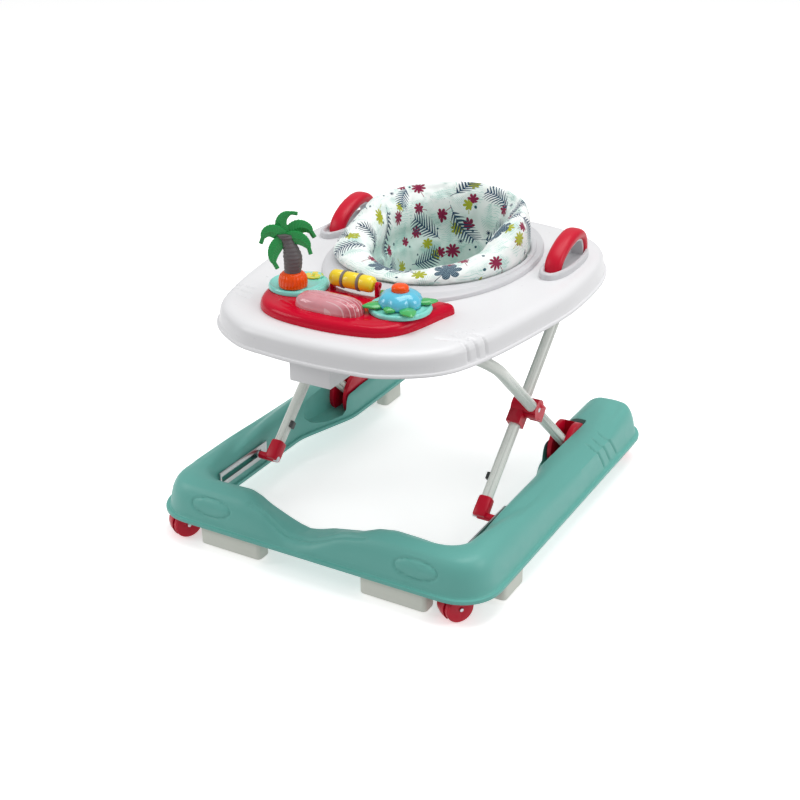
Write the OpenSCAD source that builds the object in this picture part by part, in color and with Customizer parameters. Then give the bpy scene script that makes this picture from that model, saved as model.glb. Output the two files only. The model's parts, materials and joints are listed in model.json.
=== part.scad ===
// Folding baby walker: U-shaped rolling base, scissor legs, play tray with a fabric seat.
// +Z up, the child looks towards -Y, origin at the centre of the footprint on the floor.
// Distances "back" are measured rearwards from the front edge of the base.

/* [Base] */
// Width over the base flange
base_w = 610; // [560:5:660]
// Length over the base flange
base_l = 688; // [640:4:740]
// Height of the top of the arms
base_top = 105; // [100:1:112]
// Height of the lower edge of the base shell
flange_z = 42; // [38:1:46]
// Wall thickness of the moulded shells
wall = 3.2; // [2.4:0.2:4]
// Radius of the outer front corners
corner_r = 62; // [50:1:75]

/* [Legs] */
// Outside diameter of the leg tubes
tube_d = 19; // [16:0.5:20]
// Slope of the legs with the tray at its working height
leg_angle = 42.1; // [38:0.1:46]
// Distance from a lower pivot to the crossing point
lower_arm = 195.9; // [185:0.1:205]
// Distance from the crossing point to an upper pivot
upper_arm = 231; // [220:1:240]
// Height of the lower pivots
pivot_z = 73.8; // [70:0.2:78]
// Lower pivot of the outer frame behind the front edge
pivot_back = 496.5; // [490:0.5:505]
// Sideways place of the inner tubes
inner_x = 199.6; // [198:0.1:201]
// Sideways place of the outer frame's tubes
outer_x = 221.3; // [220:0.1:221.5]

/* [Tray] */
// Height of the lower edge of the tray
tray_z = 372; // [366:1:376]
// Height of the tray's top panel
tray_top = 408; // [404:1:412]
// Half width of the seat ring
ring_rx = 170; // [160:1:175]
// Half length of the seat ring
ring_ry = 231; // [220:1:236]
// Centre of the seat ring behind the front edge
ring_back = 421; // [415:1:427]
// Half width of the opening for the seat
hole_rx = 150; // [144:1:154]
// Half length of the opening for the seat
hole_ry = 174; // [168:1:180]
// Centre of the opening behind the front edge
hole_back = 430; // [425:1:435]
// Highest point of the seat's back
seat_top = 492; // [470:1:500]

/* [Casters] */
// Radius of the wheels
wheel_r = 23; // [20:0.5:23]
// Trail of a wheel behind its swivel
trail = 12; // [8:1:12]
// Running clearance round pins and stems
run_fit = 0.06; // [0.02:0.01:0.1]

/* [Toys] */
// Centre of the palm disc, sideways and back
palm_at = [-98, 141];
// Centre of the turtle disc, sideways and back
turtle_at = [86, 151];

/* [Hidden] */
$fn = 48;
gap = 0.4;
tube_r = tube_d / 2;
pin_r = 5;

// Colours
teal = [0.36, 0.66, 0.62];
red = [0.75, 0.04, 0.14];
white = [0.93, 0.93, 0.93];
off_white = [0.86, 0.88, 0.85];
grey = [0.7, 0.7, 0.72];
steel = [0.75, 0.76, 0.78];
dark = [0.2, 0.22, 0.22];

// Base: arms, front bar and the wider ends of the arms
arm_out = base_w / 2 - 4;
arm_in = 232;
end_in = 194;
bar_back = 73;
front_back = 4;
rear_back = base_l - 4;
inner_corner_r = 25;
rear_corner_r = 60;
rear_inner_r = 30;
// Each step of the shell's rounded shoulder: inset from the wall and height below the top
shoulder = [[0, 20], [2, 13], [6, 7], [11, 3], [17, 0]];
scoop_r = 135.5;
scoop_z = 80;
lobe_x = 276;
lobe_r = 25;
hub_r = 42;

// Scissor legs
cross_back = pivot_back - lower_arm * cos(leg_angle);
cross_z = pivot_z + lower_arm * sin(leg_angle);
foot_back = pivot_back - 2 * lower_arm * cos(leg_angle);
top_z = cross_z + upper_arm * sin(leg_angle);
bar_at = cross_back - upper_arm * cos(leg_angle);
tray_pivot_back = cross_back + upper_arm * cos(leg_angle);
leg_len = lower_arm + upper_arm;
bend_r = 58;
clamp_r = 17;
clamp_split = (inner_x + outer_x) / 2;

// Tray outline: half widths and distances back, from the front to the rear
tray_curve = [[-60, 13], [0, 10], [60, 13], [125, 25], [195, 76], [228, 155], [252, 280],
    [265, 400], [252, 545], [205, 632], [110, 672], [0, 680], [-110, 672]];
tray_shoulder = [[0, 15], [4, 9], [9, 4], [15, 1.5], [22, 0]];

// Toy panel outline, right half from the front to the tip
panel_curve = [[-50, 62], [0, 58], [50, 62], [86, 74], [114, 99], [131, 132], [142, 176],
    [138, 216], [100, 232], [0, 236], [-100, 232]];
panel_top = 424;
disc_r = 47.5;
palm_disc_at = [-100, 160];
spinner_at = [-92, 191];
spinner_r = 15;
lens_at = [-9, 105];
roller_x = [-45, 27];
roller_back = 180;
roller_z = 442;

function y_of(back) = back - base_l / 2;
function arc(cx, cy, r, a0, a1, n = 8) =
    [for (i = [0:n]) let (a = a0 + (a1 - a0) * i / n) [cx + r * cos(a), cy + r * sin(a)]];
// A half outline and its mirror image, with no point on the centre line repeated
function mirrored(p) = concat(p, [for (i = [len(p) - 1:-1:0]) if (p[i][0] != 0) [-p[i][0], p[i][1]]]);
function spline_point(a, b, c, d, t) =
    (2 * b + (c - a) * t + (2 * a - 5 * b + 4 * c - d) * t * t
    + (3 * b - a - 3 * c + d) * t * t * t) / 2;
// Smooth curve through points 1 to n - 2 of a list
function spline(p, steps = 4) =
    [for (i = [1:len(p) - 3]) for (j = [0:steps - 1])
        spline_point(p[i - 1], p[i], p[i + 1], p[i + 2], j / steps)];
function ellipse_points(rx, ry, n = 56) = [for (i = [0:n - 1]) [rx * cos(360 * i / n), ry * sin(360 * i / n)]];
function normal_at(p, i) =
    let (n = len(p), d = p[(i + 1) % n] - p[(i + n - 1) % n]) [d[1], -d[0]] / norm(d);
// Outline moved inwards by a distance, for a list that runs anticlockwise
function inset(p, s) = [for (i = [0:len(p) - 1]) p[i] - normal_at(p, i) * s];
function to_y(p) = [for (q = p) [q[0], y_of(q[1])]];

tray_outline = to_y(mirrored(spline(tray_curve)));
panel_outline = to_y(mirrored(spline(panel_curve)));

module slab(z0, z1) {
    translate([0, 0, z0])
        linear_extrude(z1 - z0)
            children();
}

module block(lo, hi) {
    translate(lo)
        cube(hi - lo);
}

// Cylinder along X between two sideways places
module cross_rod(x0, x1, r, back, z, fn = 48) {
    translate([x0, y_of(back), z])
        rotate([0, 90, 0])
            cylinder(h = x1 - x0, r = r, $fn = fn);
}

module both_sides() {
    children();
    mirror([1, 0, 0])
        children();
}

module on_side(side) {
    if (side > 0)
        children();
    else
        mirror([1, 0, 0])
            children();
}

// ---- Base ----

// Half outline of the base, moved inwards by s on every side
function base_half(s) = concat(
    [[0, front_back + s]],
    arc(arm_out - corner_r, front_back + corner_r, corner_r - s, -90, 0),
    arc(arm_out - rear_corner_r, rear_back - rear_corner_r, rear_corner_r - s, 0, 90),
    arc(end_in + rear_inner_r, rear_back - rear_inner_r, rear_inner_r - s, 90, 180),
    [[end_in + s, 458], [arm_in + s, 338]],
    arc(arm_in - inner_corner_r, bar_back + inner_corner_r, inner_corner_r + s, 0, -90, 6),
    [[0, bar_back - s]]);

module base_outline(s) {
    polygon(to_y(mirrored(base_half(s))));
}

module shouldered(z0, top, extra) {
    for (step = shoulder)
        slab(z0, top - step[1])
            base_outline(step[0] + extra);
}

module scoop(grow) {
    translate([0, y_of(-5), scoop_z + scoop_r])
        rotate([-90, 0, 0])
            cylinder(h = bar_back + 15, r = scoop_r + grow, $fn = 96);
}

module arm_lobe(shrink) {
    both_sides()
        translate([lobe_x, y_of(545), base_top]) {
            rotate([-90, 0, 0])
                cylinder(h = 85, r = lobe_r - shrink);
            sphere(r = lobe_r - shrink);
            translate([0, 85, 0])
                sphere(r = lobe_r - shrink);
        }
}

module base_shell() {
    color(teal)
        difference() {
            union() {
                difference() {
                    union() {
                        slab(flange_z, flange_z + 3)
                            base_outline(-4);
                        shouldered(flange_z, base_top, 0);
                        arm_lobe(0);
                    }
                    scoop(0);
                    difference() {
                        union() {
                            shouldered(flange_z - 1, base_top - wall, wall);
                            arm_lobe(wall);
                        }
                        scoop(wall);
                    }
                }
                both_sides()
                    block([end_in + 1, y_of(450), 46.5], [arm_out - 1, y_of(543), 50]);
            }
            both_sides() {
                // Pocket for the hub and the opening in front of it
                block([202, y_of(452), 50], [242, y_of(541), base_top + 40]);
                block([205, y_of(345), 50.5], [242, y_of(453), base_top + 40]);
                // Notch that the outer tube lies in when folded
                block([end_in - 10, y_of(330), 70], [233, y_of(457), base_top + 40]);
                // Slot for the sliding foot
                block([arm_in - 6, y_of(94), pivot_z - 8], [arm_in + 8, y_of(222), pivot_z + 8]);
            }
        }
}

module slot_rail(side) {
    color(steel)
        on_side(side)
            difference() {
                block([229.2, y_of(96), 60], [231.9, y_of(232), 87]);
                block([228, y_of(100), pivot_z - pin_r - 0.3], [233, y_of(214), pivot_z + pin_r + 0.3]);
            }
}

module pad(x0, x1, b0, b1) {
    r = 8;
    translate([0, 0, 8])
        linear_extrude(flange_z - 8)
            polygon(concat(
                arc(x1 - r, y_of(b0) + r, r, -90, 0, 4),
                arc(x1 - r, y_of(b1) - r, r, 0, 90, 4),
                arc(x0 + r, y_of(b1) - r, r, 90, 180, 4),
                arc(x0 + r, y_of(b0) + r, r, 180, 270, 4)));
}

module front_pads() {
    color(off_white)
        both_sides()
            pad(92, 209, 6, 36);
}

module side_pads() {
    color(off_white)
        both_sides() {
            pad(240, 300, 92, 160);
            pad(195, 221, 590, 650);
        }
}

module hub(side) {
    color(red)
        on_side(side)
            difference() {
                intersection() {
                    cross_rod(204, 240, hub_r, pivot_back, pivot_z, 64);
                    block([200, y_of(440), 50], [250, y_of(560), 130]);
                }
                // Slot between the cheeks for the end of the tube
                block([outer_x - tube_r - 0.6, y_of(440), 40], [outer_x + tube_r + 0.6, y_of(pivot_back + 17), 130]);
                cross_rod(200, 250, pin_r + run_fit, pivot_back, pivot_z);
            }
}

module hub_pins() {
    color(steel)
        both_sides()
            cross_rod(203, 241, pin_r, pivot_back, pivot_z);
}

// ---- Casters: front left, front right, rear left, rear right ----

caster_at = [[-252, 42], [252, 42], [-262, 630], [262, 630]];
caster_turn = [-32, -32, 180, 180];

module at_caster(i) {
    translate([caster_at[i][0], y_of(caster_at[i][1]), 0])
        rotate([0, 0, caster_turn[i]])
            children();
}

module caster_sockets() {
    color(off_white)
        for (i = [0:3])
            at_caster(i)
                difference() {
                    translate([0, 0, 50])
                        cylinder(h = base_top - wall - 50, r = 12);
                    translate([0, 0, 49])
                        cylinder(h = 36, r = 5.5 + run_fit);
                }
}

// A hood over twin wheels, with its stem; the wheels trail towards -Y
module caster_hood(i) {
    color(red)
        at_caster(i)
            difference() {
                union() {
                    translate([-6, -trail, wheel_r])
                        rotate([0, 90, 0])
                            cylinder(h = 12, r = wheel_r + 2);
                    intersection() {
                        translate([-19, -trail, wheel_r])
                            rotate([0, 90, 0])
                                cylinder(h = 38, r = wheel_r + 2.5);
                        block([-19, -trail - 4, wheel_r + 6], [19, 20, 60]);
                    }
                    translate([0, 0, 30])
                        cylinder(h = 52, r = 5.5);
                }
                for (x = [-22, 4.6])
                    translate([x, -trail, wheel_r])
                        rotate([0, 90, 0])
                            cylinder(h = 17.4, r = wheel_r + 0.8);
                translate([-20, -trail, wheel_r])
                    rotate([0, 90, 0])
                        cylinder(h = 40, r = 3 + run_fit);
                block([-20, -60, -5], [20, 60, 5]);
            }
}

module caster_wheels(i) {
    color(red)
        at_caster(i)
            for (x = [-18, 5])
                translate([x, -trail, wheel_r])
                    rotate([0, 90, 0])
                        difference() {
                            union() {
                                cylinder(h = 13, r = wheel_r - 1.5);
                                translate([0, 0, 2])
                                    cylinder(h = 9, r = wheel_r);
                            }
                            translate([0, 0, -1])
                                cylinder(h = 15, r = 3 + run_fit);
                        }
}

module caster_axle(i) {
    color(steel)
        at_caster(i)
            translate([-20, -trail, wheel_r])
                rotate([0, 90, 0])
                    cylinder(h = 40, r = 3);
}

// ---- Legs ----

// Move to a leg's frame: its own +Y runs up the leg
module along_outer() {
    translate([0, y_of(pivot_back), pivot_z])
        rotate([180 - leg_angle, 0, 0])
            children();
}

module along_inner() {
    translate([0, y_of(foot_back), pivot_z])
        rotate([leg_angle, 0, 0])
            children();
}

module run_y(x, v0, v1, r) {
    translate([x, v0, 0])
        rotate([-90, 0, 0])
            cylinder(h = v1 - v0, r = r);
}

module frame_path(r, spare) {
    both_sides() {
        run_y(outer_x, -13 - spare, leg_len - bend_r, r);
        translate([outer_x - bend_r, leg_len - bend_r, 0])
            rotate_extrude(angle = 90, $fn = 64)
                translate([bend_r, 0])
                    circle(r = r, $fn = 32);
    }
    translate([-(outer_x - bend_r), leg_len, 0])
        rotate([0, 90, 0])
            cylinder(h = 2 * (outer_x - bend_r), r = r);
}

module outer_leg_frame() {
    color(off_white)
        difference() {
            along_outer()
                difference() {
                    frame_path(tube_r, 0);
                    frame_path(tube_r - 1.5, 1);
                }
            both_sides() {
                cross_rod(190, 250, pin_r + run_fit, pivot_back, pivot_z);
                cross_rod(190, 250, 4 + run_fit, cross_back, cross_z);
            }
        }
}

module inner_tube(side) {
    color(off_white)
        on_side(side)
            difference() {
                along_inner()
                    difference() {
                        run_y(inner_x, 6, leg_len + 12, tube_r);
                        run_y(inner_x, 5, leg_len + 13, tube_r - 1.5);
                    }
                cross_rod(180, 230, pin_r + run_fit, tray_pivot_back, top_z);
                cross_rod(180, 230, 4 + run_fit, cross_back, cross_z);
            }
}

module foot(side) {
    color(red)
        on_side(side)
            difference() {
                union() {
                    along_inner()
                        run_y(inner_x, -4, 36, 14);
                    cross_rod(inner_x - 13, 226, 15, foot_back, pivot_z);
                }
                along_inner()
                    run_y(inner_x, 6, 40, tube_r + 0.05);
                cross_rod(inner_x - 20, 230, pin_r + 0.05, foot_back, pivot_z);
                // Hook notch in the front of the foot
                block([180, y_of(foot_back - 20), pivot_z - 12], [240, y_of(foot_back - 9), pivot_z - 4]);
            }
}

module foot_pins() {
    color(steel)
        both_sides() {
            cross_rod(inner_x - 12, 240, pin_r, foot_back, pivot_z);
            cross_rod(237.6, 241, 9, foot_back, pivot_z);
        }
}

// Clamps hold the tubes at the crossing and turn against each other
module clamp_body(x0, x1, x_tube) {
    difference() {
        union() {
            cross_rod(x0, x1, clamp_r, cross_back, cross_z);
            children(0);
        }
        children(1);
        cross_rod(x0 - 5, x1 + 5, 4 + run_fit, cross_back, cross_z);
    }
}

module clamp_outer(side) {
    color(red)
        on_side(side)
            clamp_body(clamp_split + gap / 2, 231, outer_x) {
                along_outer()
                    block([clamp_split + gap / 2, lower_arm - 26, -13], [231, lower_arm + 12, 13]);
                along_outer()
                    run_y(outer_x, lower_arm - 40, lower_arm + 40, tube_r + 0.05);
            }
}

module clamp_inner(side) {
    color(red)
        on_side(side)
            clamp_body(187, clamp_split - gap / 2, inner_x) {
                along_inner()
                    block([187, lower_arm - 34, -13], [clamp_split - gap / 2, lower_arm + 16, 13]);
                along_inner()
                    run_y(inner_x, lower_arm - 40, lower_arm + 40, tube_r + 0.05);
            }
}

module cross_pins() {
    color(steel)
        both_sides() {
            cross_rod(185, 231.4, 4, cross_back, cross_z);
            cross_rod(183.4, 186.6, 7.5, cross_back, cross_z);
        }
}

module tube_clips() {
    color(dark)
        both_sides()
            along_inner()
                difference() {
                    block([inner_x - 13, 60, -6], [inner_x - 4, 72, 6]);
                    run_y(inner_x, 50, 80, tube_r + 0.05);
                }
}

// ---- Tray ----

module tray_layers(z0, top, extra) {
    for (step = tray_shoulder)
        slab(z0, top - step[1])
            polygon(inset(tray_outline, step[0] + extra));
}

module ring_oval(grow) {
    translate([0, y_of(ring_back)])
        polygon(ellipse_points(ring_rx + grow, ring_ry + grow));
}

// Opening for the seat
module hole_oval(grow) {
    translate([0, y_of(hole_back)])
        polygon(ellipse_points(hole_rx + grow, hole_ry + grow));
}

module tray_shell() {
    color(white)
        difference() {
            union() {
                slab(tray_z, tray_z + 3)
                    polygon(inset(tray_outline, -4));
                tray_layers(tray_z, tray_top, 0);
            }
            tray_layers(tray_z - 1, tray_top - wall, wall);
            slab(tray_z - 1, tray_top + 1)
                hole_oval(8.5);
        }
}

track = [bar_at - 116 - tube_r - 2, bar_at + tube_r + 1];
housing_z = 330;
latch_back = [52, 104];
latch_travel = 14;

module adjust_housing() {
    color(white)
        difference() {
            union() {
                block([-36, y_of(30), housing_z], [36, y_of(track[1] + 8), tray_z + 14]);
                block([-30, y_of(60), tray_z + 13], [30, y_of(150), tray_top - wall]);
            }
            // Track for the cross bar
            block([-40, y_of(track[0]), top_z - tube_r - 0.5], [40, y_of(track[1]), top_z + tube_r + 0.5]);
            // Hollow above the track
            block([-26, y_of(64), top_z + tube_r + 4], [26, y_of(146), tray_top + 5]);
            // Recess for the latch
            block([-20, y_of(latch_back[0] - 2), housing_z - 5],
                [20, y_of(latch_back[1] + latch_travel + 2), housing_z + 12]);
        }
}

module height_latch() {
    color(red)
        difference() {
            block([-19.5, y_of(latch_back[0]), housing_z + 1], [19.5, y_of(latch_back[1]), housing_z + 11.5]);
            block([-13, y_of(latch_back[0] + 8), housing_z - 1], [13, y_of(latch_back[0] + 30), housing_z + 6]);
        }
}

module pivot_bracket(side) {
    cheeks = [[184, inner_x - tube_r - 0.5], [inner_x + tube_r + 0.5, 215]];
    color(off_white)
        on_side(side)
            difference() {
                union() {
                    for (c = cheeks)
                        block([c[0], y_of(tray_pivot_back - 16), top_z - 14],
                            [c[1], y_of(tray_pivot_back + 16), tray_top - wall]);
                    block([184, y_of(tray_pivot_back - 16), tray_top - wall - 5],
                        [215, y_of(tray_pivot_back + 16), tray_top - wall]);
                }
                cross_rod(180, 220, pin_r + 0.05, tray_pivot_back, top_z);
            }
}

module pivot_pins() {
    color(steel)
        both_sides()
            cross_rod(183, 216, pin_r, tray_pivot_back, top_z);
}

module seat_ring() {
    color(grey)
        difference() {
            union() {
                slab(tray_top, tray_top + 7)
                    ring_oval(0);
                slab(tray_top, tray_top + 11)
                    ring_oval(-7);
                slab(tray_top - 16, tray_top + 1)
                    hole_oval(8);
            }
            slab(tray_top - 20, tray_top + 20)
                hole_oval(0);
        }
}

// Seat bucket: each level gives its height, half width, half length and centre back
seat_levels = [[258, 90, 102, 430], [285, 104, 118, 430], [320, 118, 135, 430],
    [355, 130, 151, 430], [388, 141, 165, 430]];
seat_wall = 8;
rim_rx = hole_rx - 2;
rim_ry = hole_ry - 2;
// The back's steps: top height and how far back it starts
back_steps = [[436, 200], [447, 330], [462, 385], [480, 425], [seat_top, 560]];

module seat_oval(rx, ry, back) {
    translate([0, y_of(back)])
        polygon(ellipse_points(rx, ry, 40));
}

module seat_fabric() {
    top_level = seat_levels[len(seat_levels) - 1];
    color([0.82, 0.92, 0.9])
        difference() {
            union() {
                for (i = [0:len(seat_levels) - 2])
                    slab(seat_levels[i][0], seat_levels[i + 1][0])
                        seat_oval(seat_levels[i][1], seat_levels[i][2], seat_levels[i][3]);
                for (step = back_steps)
                    intersection() {
                        slab(top_level[0], step[0])
                            seat_oval(rim_rx, rim_ry, hole_back);
                        block([-200, y_of(step[1]), 380], [200, y_of(700), 500]);
                    }
            }
            // Every level's floor is left as a ledge that joins it to the next
            for (i = [0:len(seat_levels) - 2])
                slab(seat_levels[i][0] + seat_wall, seat_levels[i + 1][0] + seat_wall)
                    seat_oval(seat_levels[i][1] - seat_wall, seat_levels[i][2] - seat_wall, seat_levels[i][3]);
            slab(top_level[0] + seat_wall, 520)
                seat_oval(rim_rx - seat_wall, rim_ry - seat_wall, hole_back);
            // Leg openings in the front of the bucket
            for (x = [-52, 52])
                translate([x, y_of(200), 306])
                    rotate([-90, 0, 0])
                        cylinder(h = 190, r = 34);
        }
}

module seat_hooks() {
    color(dark)
        translate([0, y_of(hole_back), 0])
            for (a = [20, 90, 160, 200, 270, 340])
                translate([(rim_rx + 1.5) * cos(a), (rim_ry + 1.5) * sin(a), 385.5])
                    rotate([0, 0, atan2(rim_rx * sin(a), rim_ry * cos(a))])
                        block([0, -8, 0], [9, 8, 6]);
}

handle_x = 205;

module handle_base(side) {
    color(grey)
        translate([side * handle_x, 0, tray_top])
            linear_extrude(5)
                polygon(concat(
                    arc(0, y_of(564) - 18, 18, 0, 180, 10),
                    arc(0, y_of(425) + 18, 18, 180, 360, 10)));
}

// Side outline of a handle's arch: distance back and height
grip_outer = [[436, 390], [432, 413], [448, 432], [476, 450], [510, 462], [536, 461], [553, 446], [557, 413],
    [555, 390]];
grip_inner = [[462, 395], [462, 413], [474, 425], [496, 438], [518, 445], [534, 440], [540, 413], [540, 395]];

module grip_side(points, top) {
    polygon([for (p = concat(spline(points), [points[len(points) - 2]])) [y_of(p[0]), p[1]]]);
}

module handle_grip(side) {
    color(red)
        translate([side * handle_x - 14, 0, 0])
            rotate([90, 0, 90])
                linear_extrude(28)
                    difference() {
                        grip_side(grip_outer);
                        grip_side(grip_inner);
                        translate([-400, 380])
                            square([800, 33]);
                    }
}

// ---- Toys ----

module toy_panel() {
    color(red)
        difference() {
            union() {
                slab(tray_top, panel_top - 6)
                    polygon(panel_outline);
                slab(tray_top, panel_top)
                    polygon(inset(panel_outline, 5));
            }
            slab(tray_top - 1, panel_top - 3)
                polygon(inset(panel_outline, 9));
            slab(tray_top - 1, panel_top + 1)
                ring_oval(5);
        }
}

module panel_screws() {
    color(steel)
        for (p = [[-118, 190], [122, 195], [0, 74]])
            translate([p[0], y_of(p[1]), tray_top]) {
                cylinder(h = panel_top - 3 - tray_top, r = 1.5);
                cylinder(h = 2, r = 3.5);
            }
}

module circuit_board() {
    color([0.1, 0.4, 0.2])
        block([-50, y_of(100), tray_top + 3], [40, y_of(150), tray_top + 5]);
}

function stadium(at, half_l, r) =
    to_y(concat(arc(at[0] + half_l - r, at[1], r, -90, 90, 10), arc(at[0] - half_l + r, at[1], r, 90, 270, 10)));

module lens_dome() {
    color([0.95, 0.5, 0.6])
        for (s = [[0, 10], [3, 15], [8, 19]])
            slab(panel_top, panel_top + s[1])
                polygon(stadium(lens_at, 48 - s[0], 23 - s[0]));
}

module disc(at, z, h, r) {
    translate([at[0], y_of(at[1]), z])
        cylinder(h = h, r = r);
}

module palm_disc() {
    color([0.5, 0.82, 0.76])
        difference() {
            union() {
                disc(palm_disc_at, panel_top, 7, disc_r);
                disc(spinner_at, panel_top + 6, 4, 2);
            }
            disc(palm_at, panel_top - 1, 10, 4 + run_fit);
        }
}

module palm_dome() {
    color([0.95, 0.45, 0.1]) {
        intersection() {
            translate([palm_at[0], y_of(palm_at[1]), panel_top + 10])
                sphere(r = 22);
            disc(palm_at, panel_top + 7 + gap, 40, 30);
        }
        disc(palm_at, panel_top + 1, 12, 4);
    }
}

trunk_z = panel_top + 10 + 20;

module palm_trunk() {
    color([0.35, 0.37, 0.4])
        difference() {
            union()
                for (i = [0:5])
                    disc(palm_at, trunk_z - 3 + i * 10.5, 11, i % 2 == 0 ? 9 : 7.5);
            translate([palm_at[0], y_of(palm_at[1]), panel_top + 10])
                sphere(r = 22);
        }
}

leaf_z = trunk_z - 3 + 5 * 10.5 + 11;

module palm_leaf(turn, lift) {
    translate([palm_at[0], y_of(palm_at[1]), leaf_z + 8])
        rotate([0, 0, turn])
            rotate([0, -lift, 0])
                translate([0, 8, 0])
                    rotate([90, 0, 0])
                        linear_extrude(16)
                            polygon(concat(arc(18, -10, 21, 160, 0), arc(18, -16, 18, 10, 150)));
}

module palm_leaves() {
    color([0.15, 0.6, 0.25]) {
        for (leaf = [[40, 0], [130, 0], [215, 0], [300, 0], [85, 50]])
            palm_leaf(leaf[0], leaf[1]);
        disc(palm_at, leaf_z, 9, 8);
    }
}

module pattern_disc() {
    color([0.7, 0.82, 0.2])
        difference() {
            disc(spinner_at, panel_top + 7 + gap, 2.5, spinner_r);
            disc(spinner_at, panel_top, 20, 2 + run_fit);
        }
}

module roller_cradle() {
    color(white)
        for (x = [roller_x[0] - 7, roller_x[1] + 1])
            difference() {
                union() {
                    block([x, y_of(roller_back - 6), panel_top], [x + 6, y_of(roller_back + 2), roller_z]);
                    cross_rod(x, x + 6, 6, roller_back, roller_z);
                }
                cross_rod(x - 1, x + 7, 3 + run_fit, roller_back, roller_z);
            }
}

module roller() {
    color([1, 0.8, 0.1]) {
        cross_rod(roller_x[0] - 7, roller_x[1] + 7, 3, roller_back, roller_z);
        for (i = [0:5])
            cross_rod(roller_x[0] + i * 12, roller_x[0] + 12 + i * 12, i % 2 == 0 ? 13 : 11, roller_back, roller_z);
    }
}

module turtle_disc() {
    color([0.5, 0.82, 0.76])
        difference() {
            disc(turtle_at, panel_top, 7, disc_r);
            disc(turtle_at, panel_top - 1, 10, 4 + run_fit);
        }
}

module turtle_body() {
    shell_z = panel_top + 7 + gap;
    color([0.25, 0.6, 0.8])
        difference() {
            union() {
                intersection() {
                    translate([turtle_at[0], y_of(turtle_at[1]), shell_z - 14])
                        sphere(r = 36, $fn = 64);
                    disc(turtle_at, shell_z, 30, 40);
                }
                disc(turtle_at, panel_top + 1, 12, 4);
                // Flippers and head
                for (a = [40, 140, 220, 320])
                    disc(turtle_at + 36 * [cos(a), sin(a)], shell_z, 5, 10);
                disc(turtle_at + [0, -38], shell_z, 8, 9);
            }
            disc(turtle_at, shell_z + 12, 30, 13 + gap);
        }
}

module turtle_button() {
    color([0.95, 0.45, 0.1])
        translate([turtle_at[0], y_of(turtle_at[1]), panel_top + 7 + gap + 16])
            intersection() {
                translate([0, 0, -4])
                    sphere(r = 17);
                cylinder(h = 30, r = 13);
            }
}

base_shell();
slot_rail(-1);  // slot_rail_left
slot_rail(1);  // slot_rail_right
front_pads();
side_pads();
hub(-1);  // hub_left
hub(1);  // hub_right
hub_pins();
caster_sockets();
caster_hood(0);  // caster_hood_fl
caster_hood(1);  // caster_hood_fr
caster_hood(2);  // caster_hood_rl
caster_hood(3);  // caster_hood_rr
caster_wheels(0);  // caster_wheels_fl
caster_wheels(1);  // caster_wheels_fr
caster_wheels(2);  // caster_wheels_rl
caster_wheels(3);  // caster_wheels_rr
caster_axle(0);  // caster_axle_fl
caster_axle(1);  // caster_axle_fr
caster_axle(2);  // caster_axle_rl
caster_axle(3);  // caster_axle_rr
outer_leg_frame();
inner_tube(-1);  // inner_tube_left
inner_tube(1);  // inner_tube_right
foot(-1);  // foot_left
foot(1);  // foot_right
foot_pins();
clamp_outer(-1);  // clamp_outer_left
clamp_outer(1);  // clamp_outer_right
clamp_inner(-1);  // clamp_inner_left
clamp_inner(1);  // clamp_inner_right
cross_pins();
tube_clips();
tray_shell();
adjust_housing();
height_latch();
pivot_bracket(-1);  // pivot_bracket_left
pivot_bracket(1);  // pivot_bracket_right
pivot_pins();
seat_ring();
seat_fabric();
seat_hooks();
handle_base(-1);  // handle_base_left
handle_base(1);  // handle_base_right
handle_grip(-1);  // handle_grip_left
handle_grip(1);  // handle_grip_right
toy_panel();
panel_screws();
circuit_board();
lens_dome();
palm_disc();
palm_dome();
palm_trunk();
palm_leaves();
pattern_disc();
roller_cradle();
roller();
turtle_disc();
turtle_body();
turtle_button();
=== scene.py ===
import json
import math
import bpy
import numpy as np
from mathutils import Matrix, Vector


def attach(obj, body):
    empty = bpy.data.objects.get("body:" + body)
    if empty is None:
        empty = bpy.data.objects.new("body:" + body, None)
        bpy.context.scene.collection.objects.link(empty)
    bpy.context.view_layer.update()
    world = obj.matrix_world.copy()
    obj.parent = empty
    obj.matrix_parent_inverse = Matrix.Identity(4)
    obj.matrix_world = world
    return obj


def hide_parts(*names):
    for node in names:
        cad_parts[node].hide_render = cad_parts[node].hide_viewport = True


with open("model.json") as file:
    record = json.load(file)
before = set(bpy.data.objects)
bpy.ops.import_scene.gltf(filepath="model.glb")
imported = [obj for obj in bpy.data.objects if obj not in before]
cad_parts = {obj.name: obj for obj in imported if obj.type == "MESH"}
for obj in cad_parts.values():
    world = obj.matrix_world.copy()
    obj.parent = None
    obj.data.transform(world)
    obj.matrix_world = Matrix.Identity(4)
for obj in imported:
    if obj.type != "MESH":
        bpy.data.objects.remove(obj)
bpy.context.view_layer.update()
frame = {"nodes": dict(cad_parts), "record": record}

# Sizes are in millimetres: x to the right, back from the front edge of the base, z up.
MM = 0.001
BASE_HALF = 344.0
FRONT_EDGE = np.array([0.0, BASE_HALF, 0.0])


# ---- Curves and numbers ----

def place(points):
    """Millimetres of (x, back, z) as metres in the frame."""
    return (np.asarray(points, float) - FRONT_EDGE) * MM


def in_mm(points):
    """Metres in the frame as millimetres of (x, back, z)."""
    return points / MM + FRONT_EDGE


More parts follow.
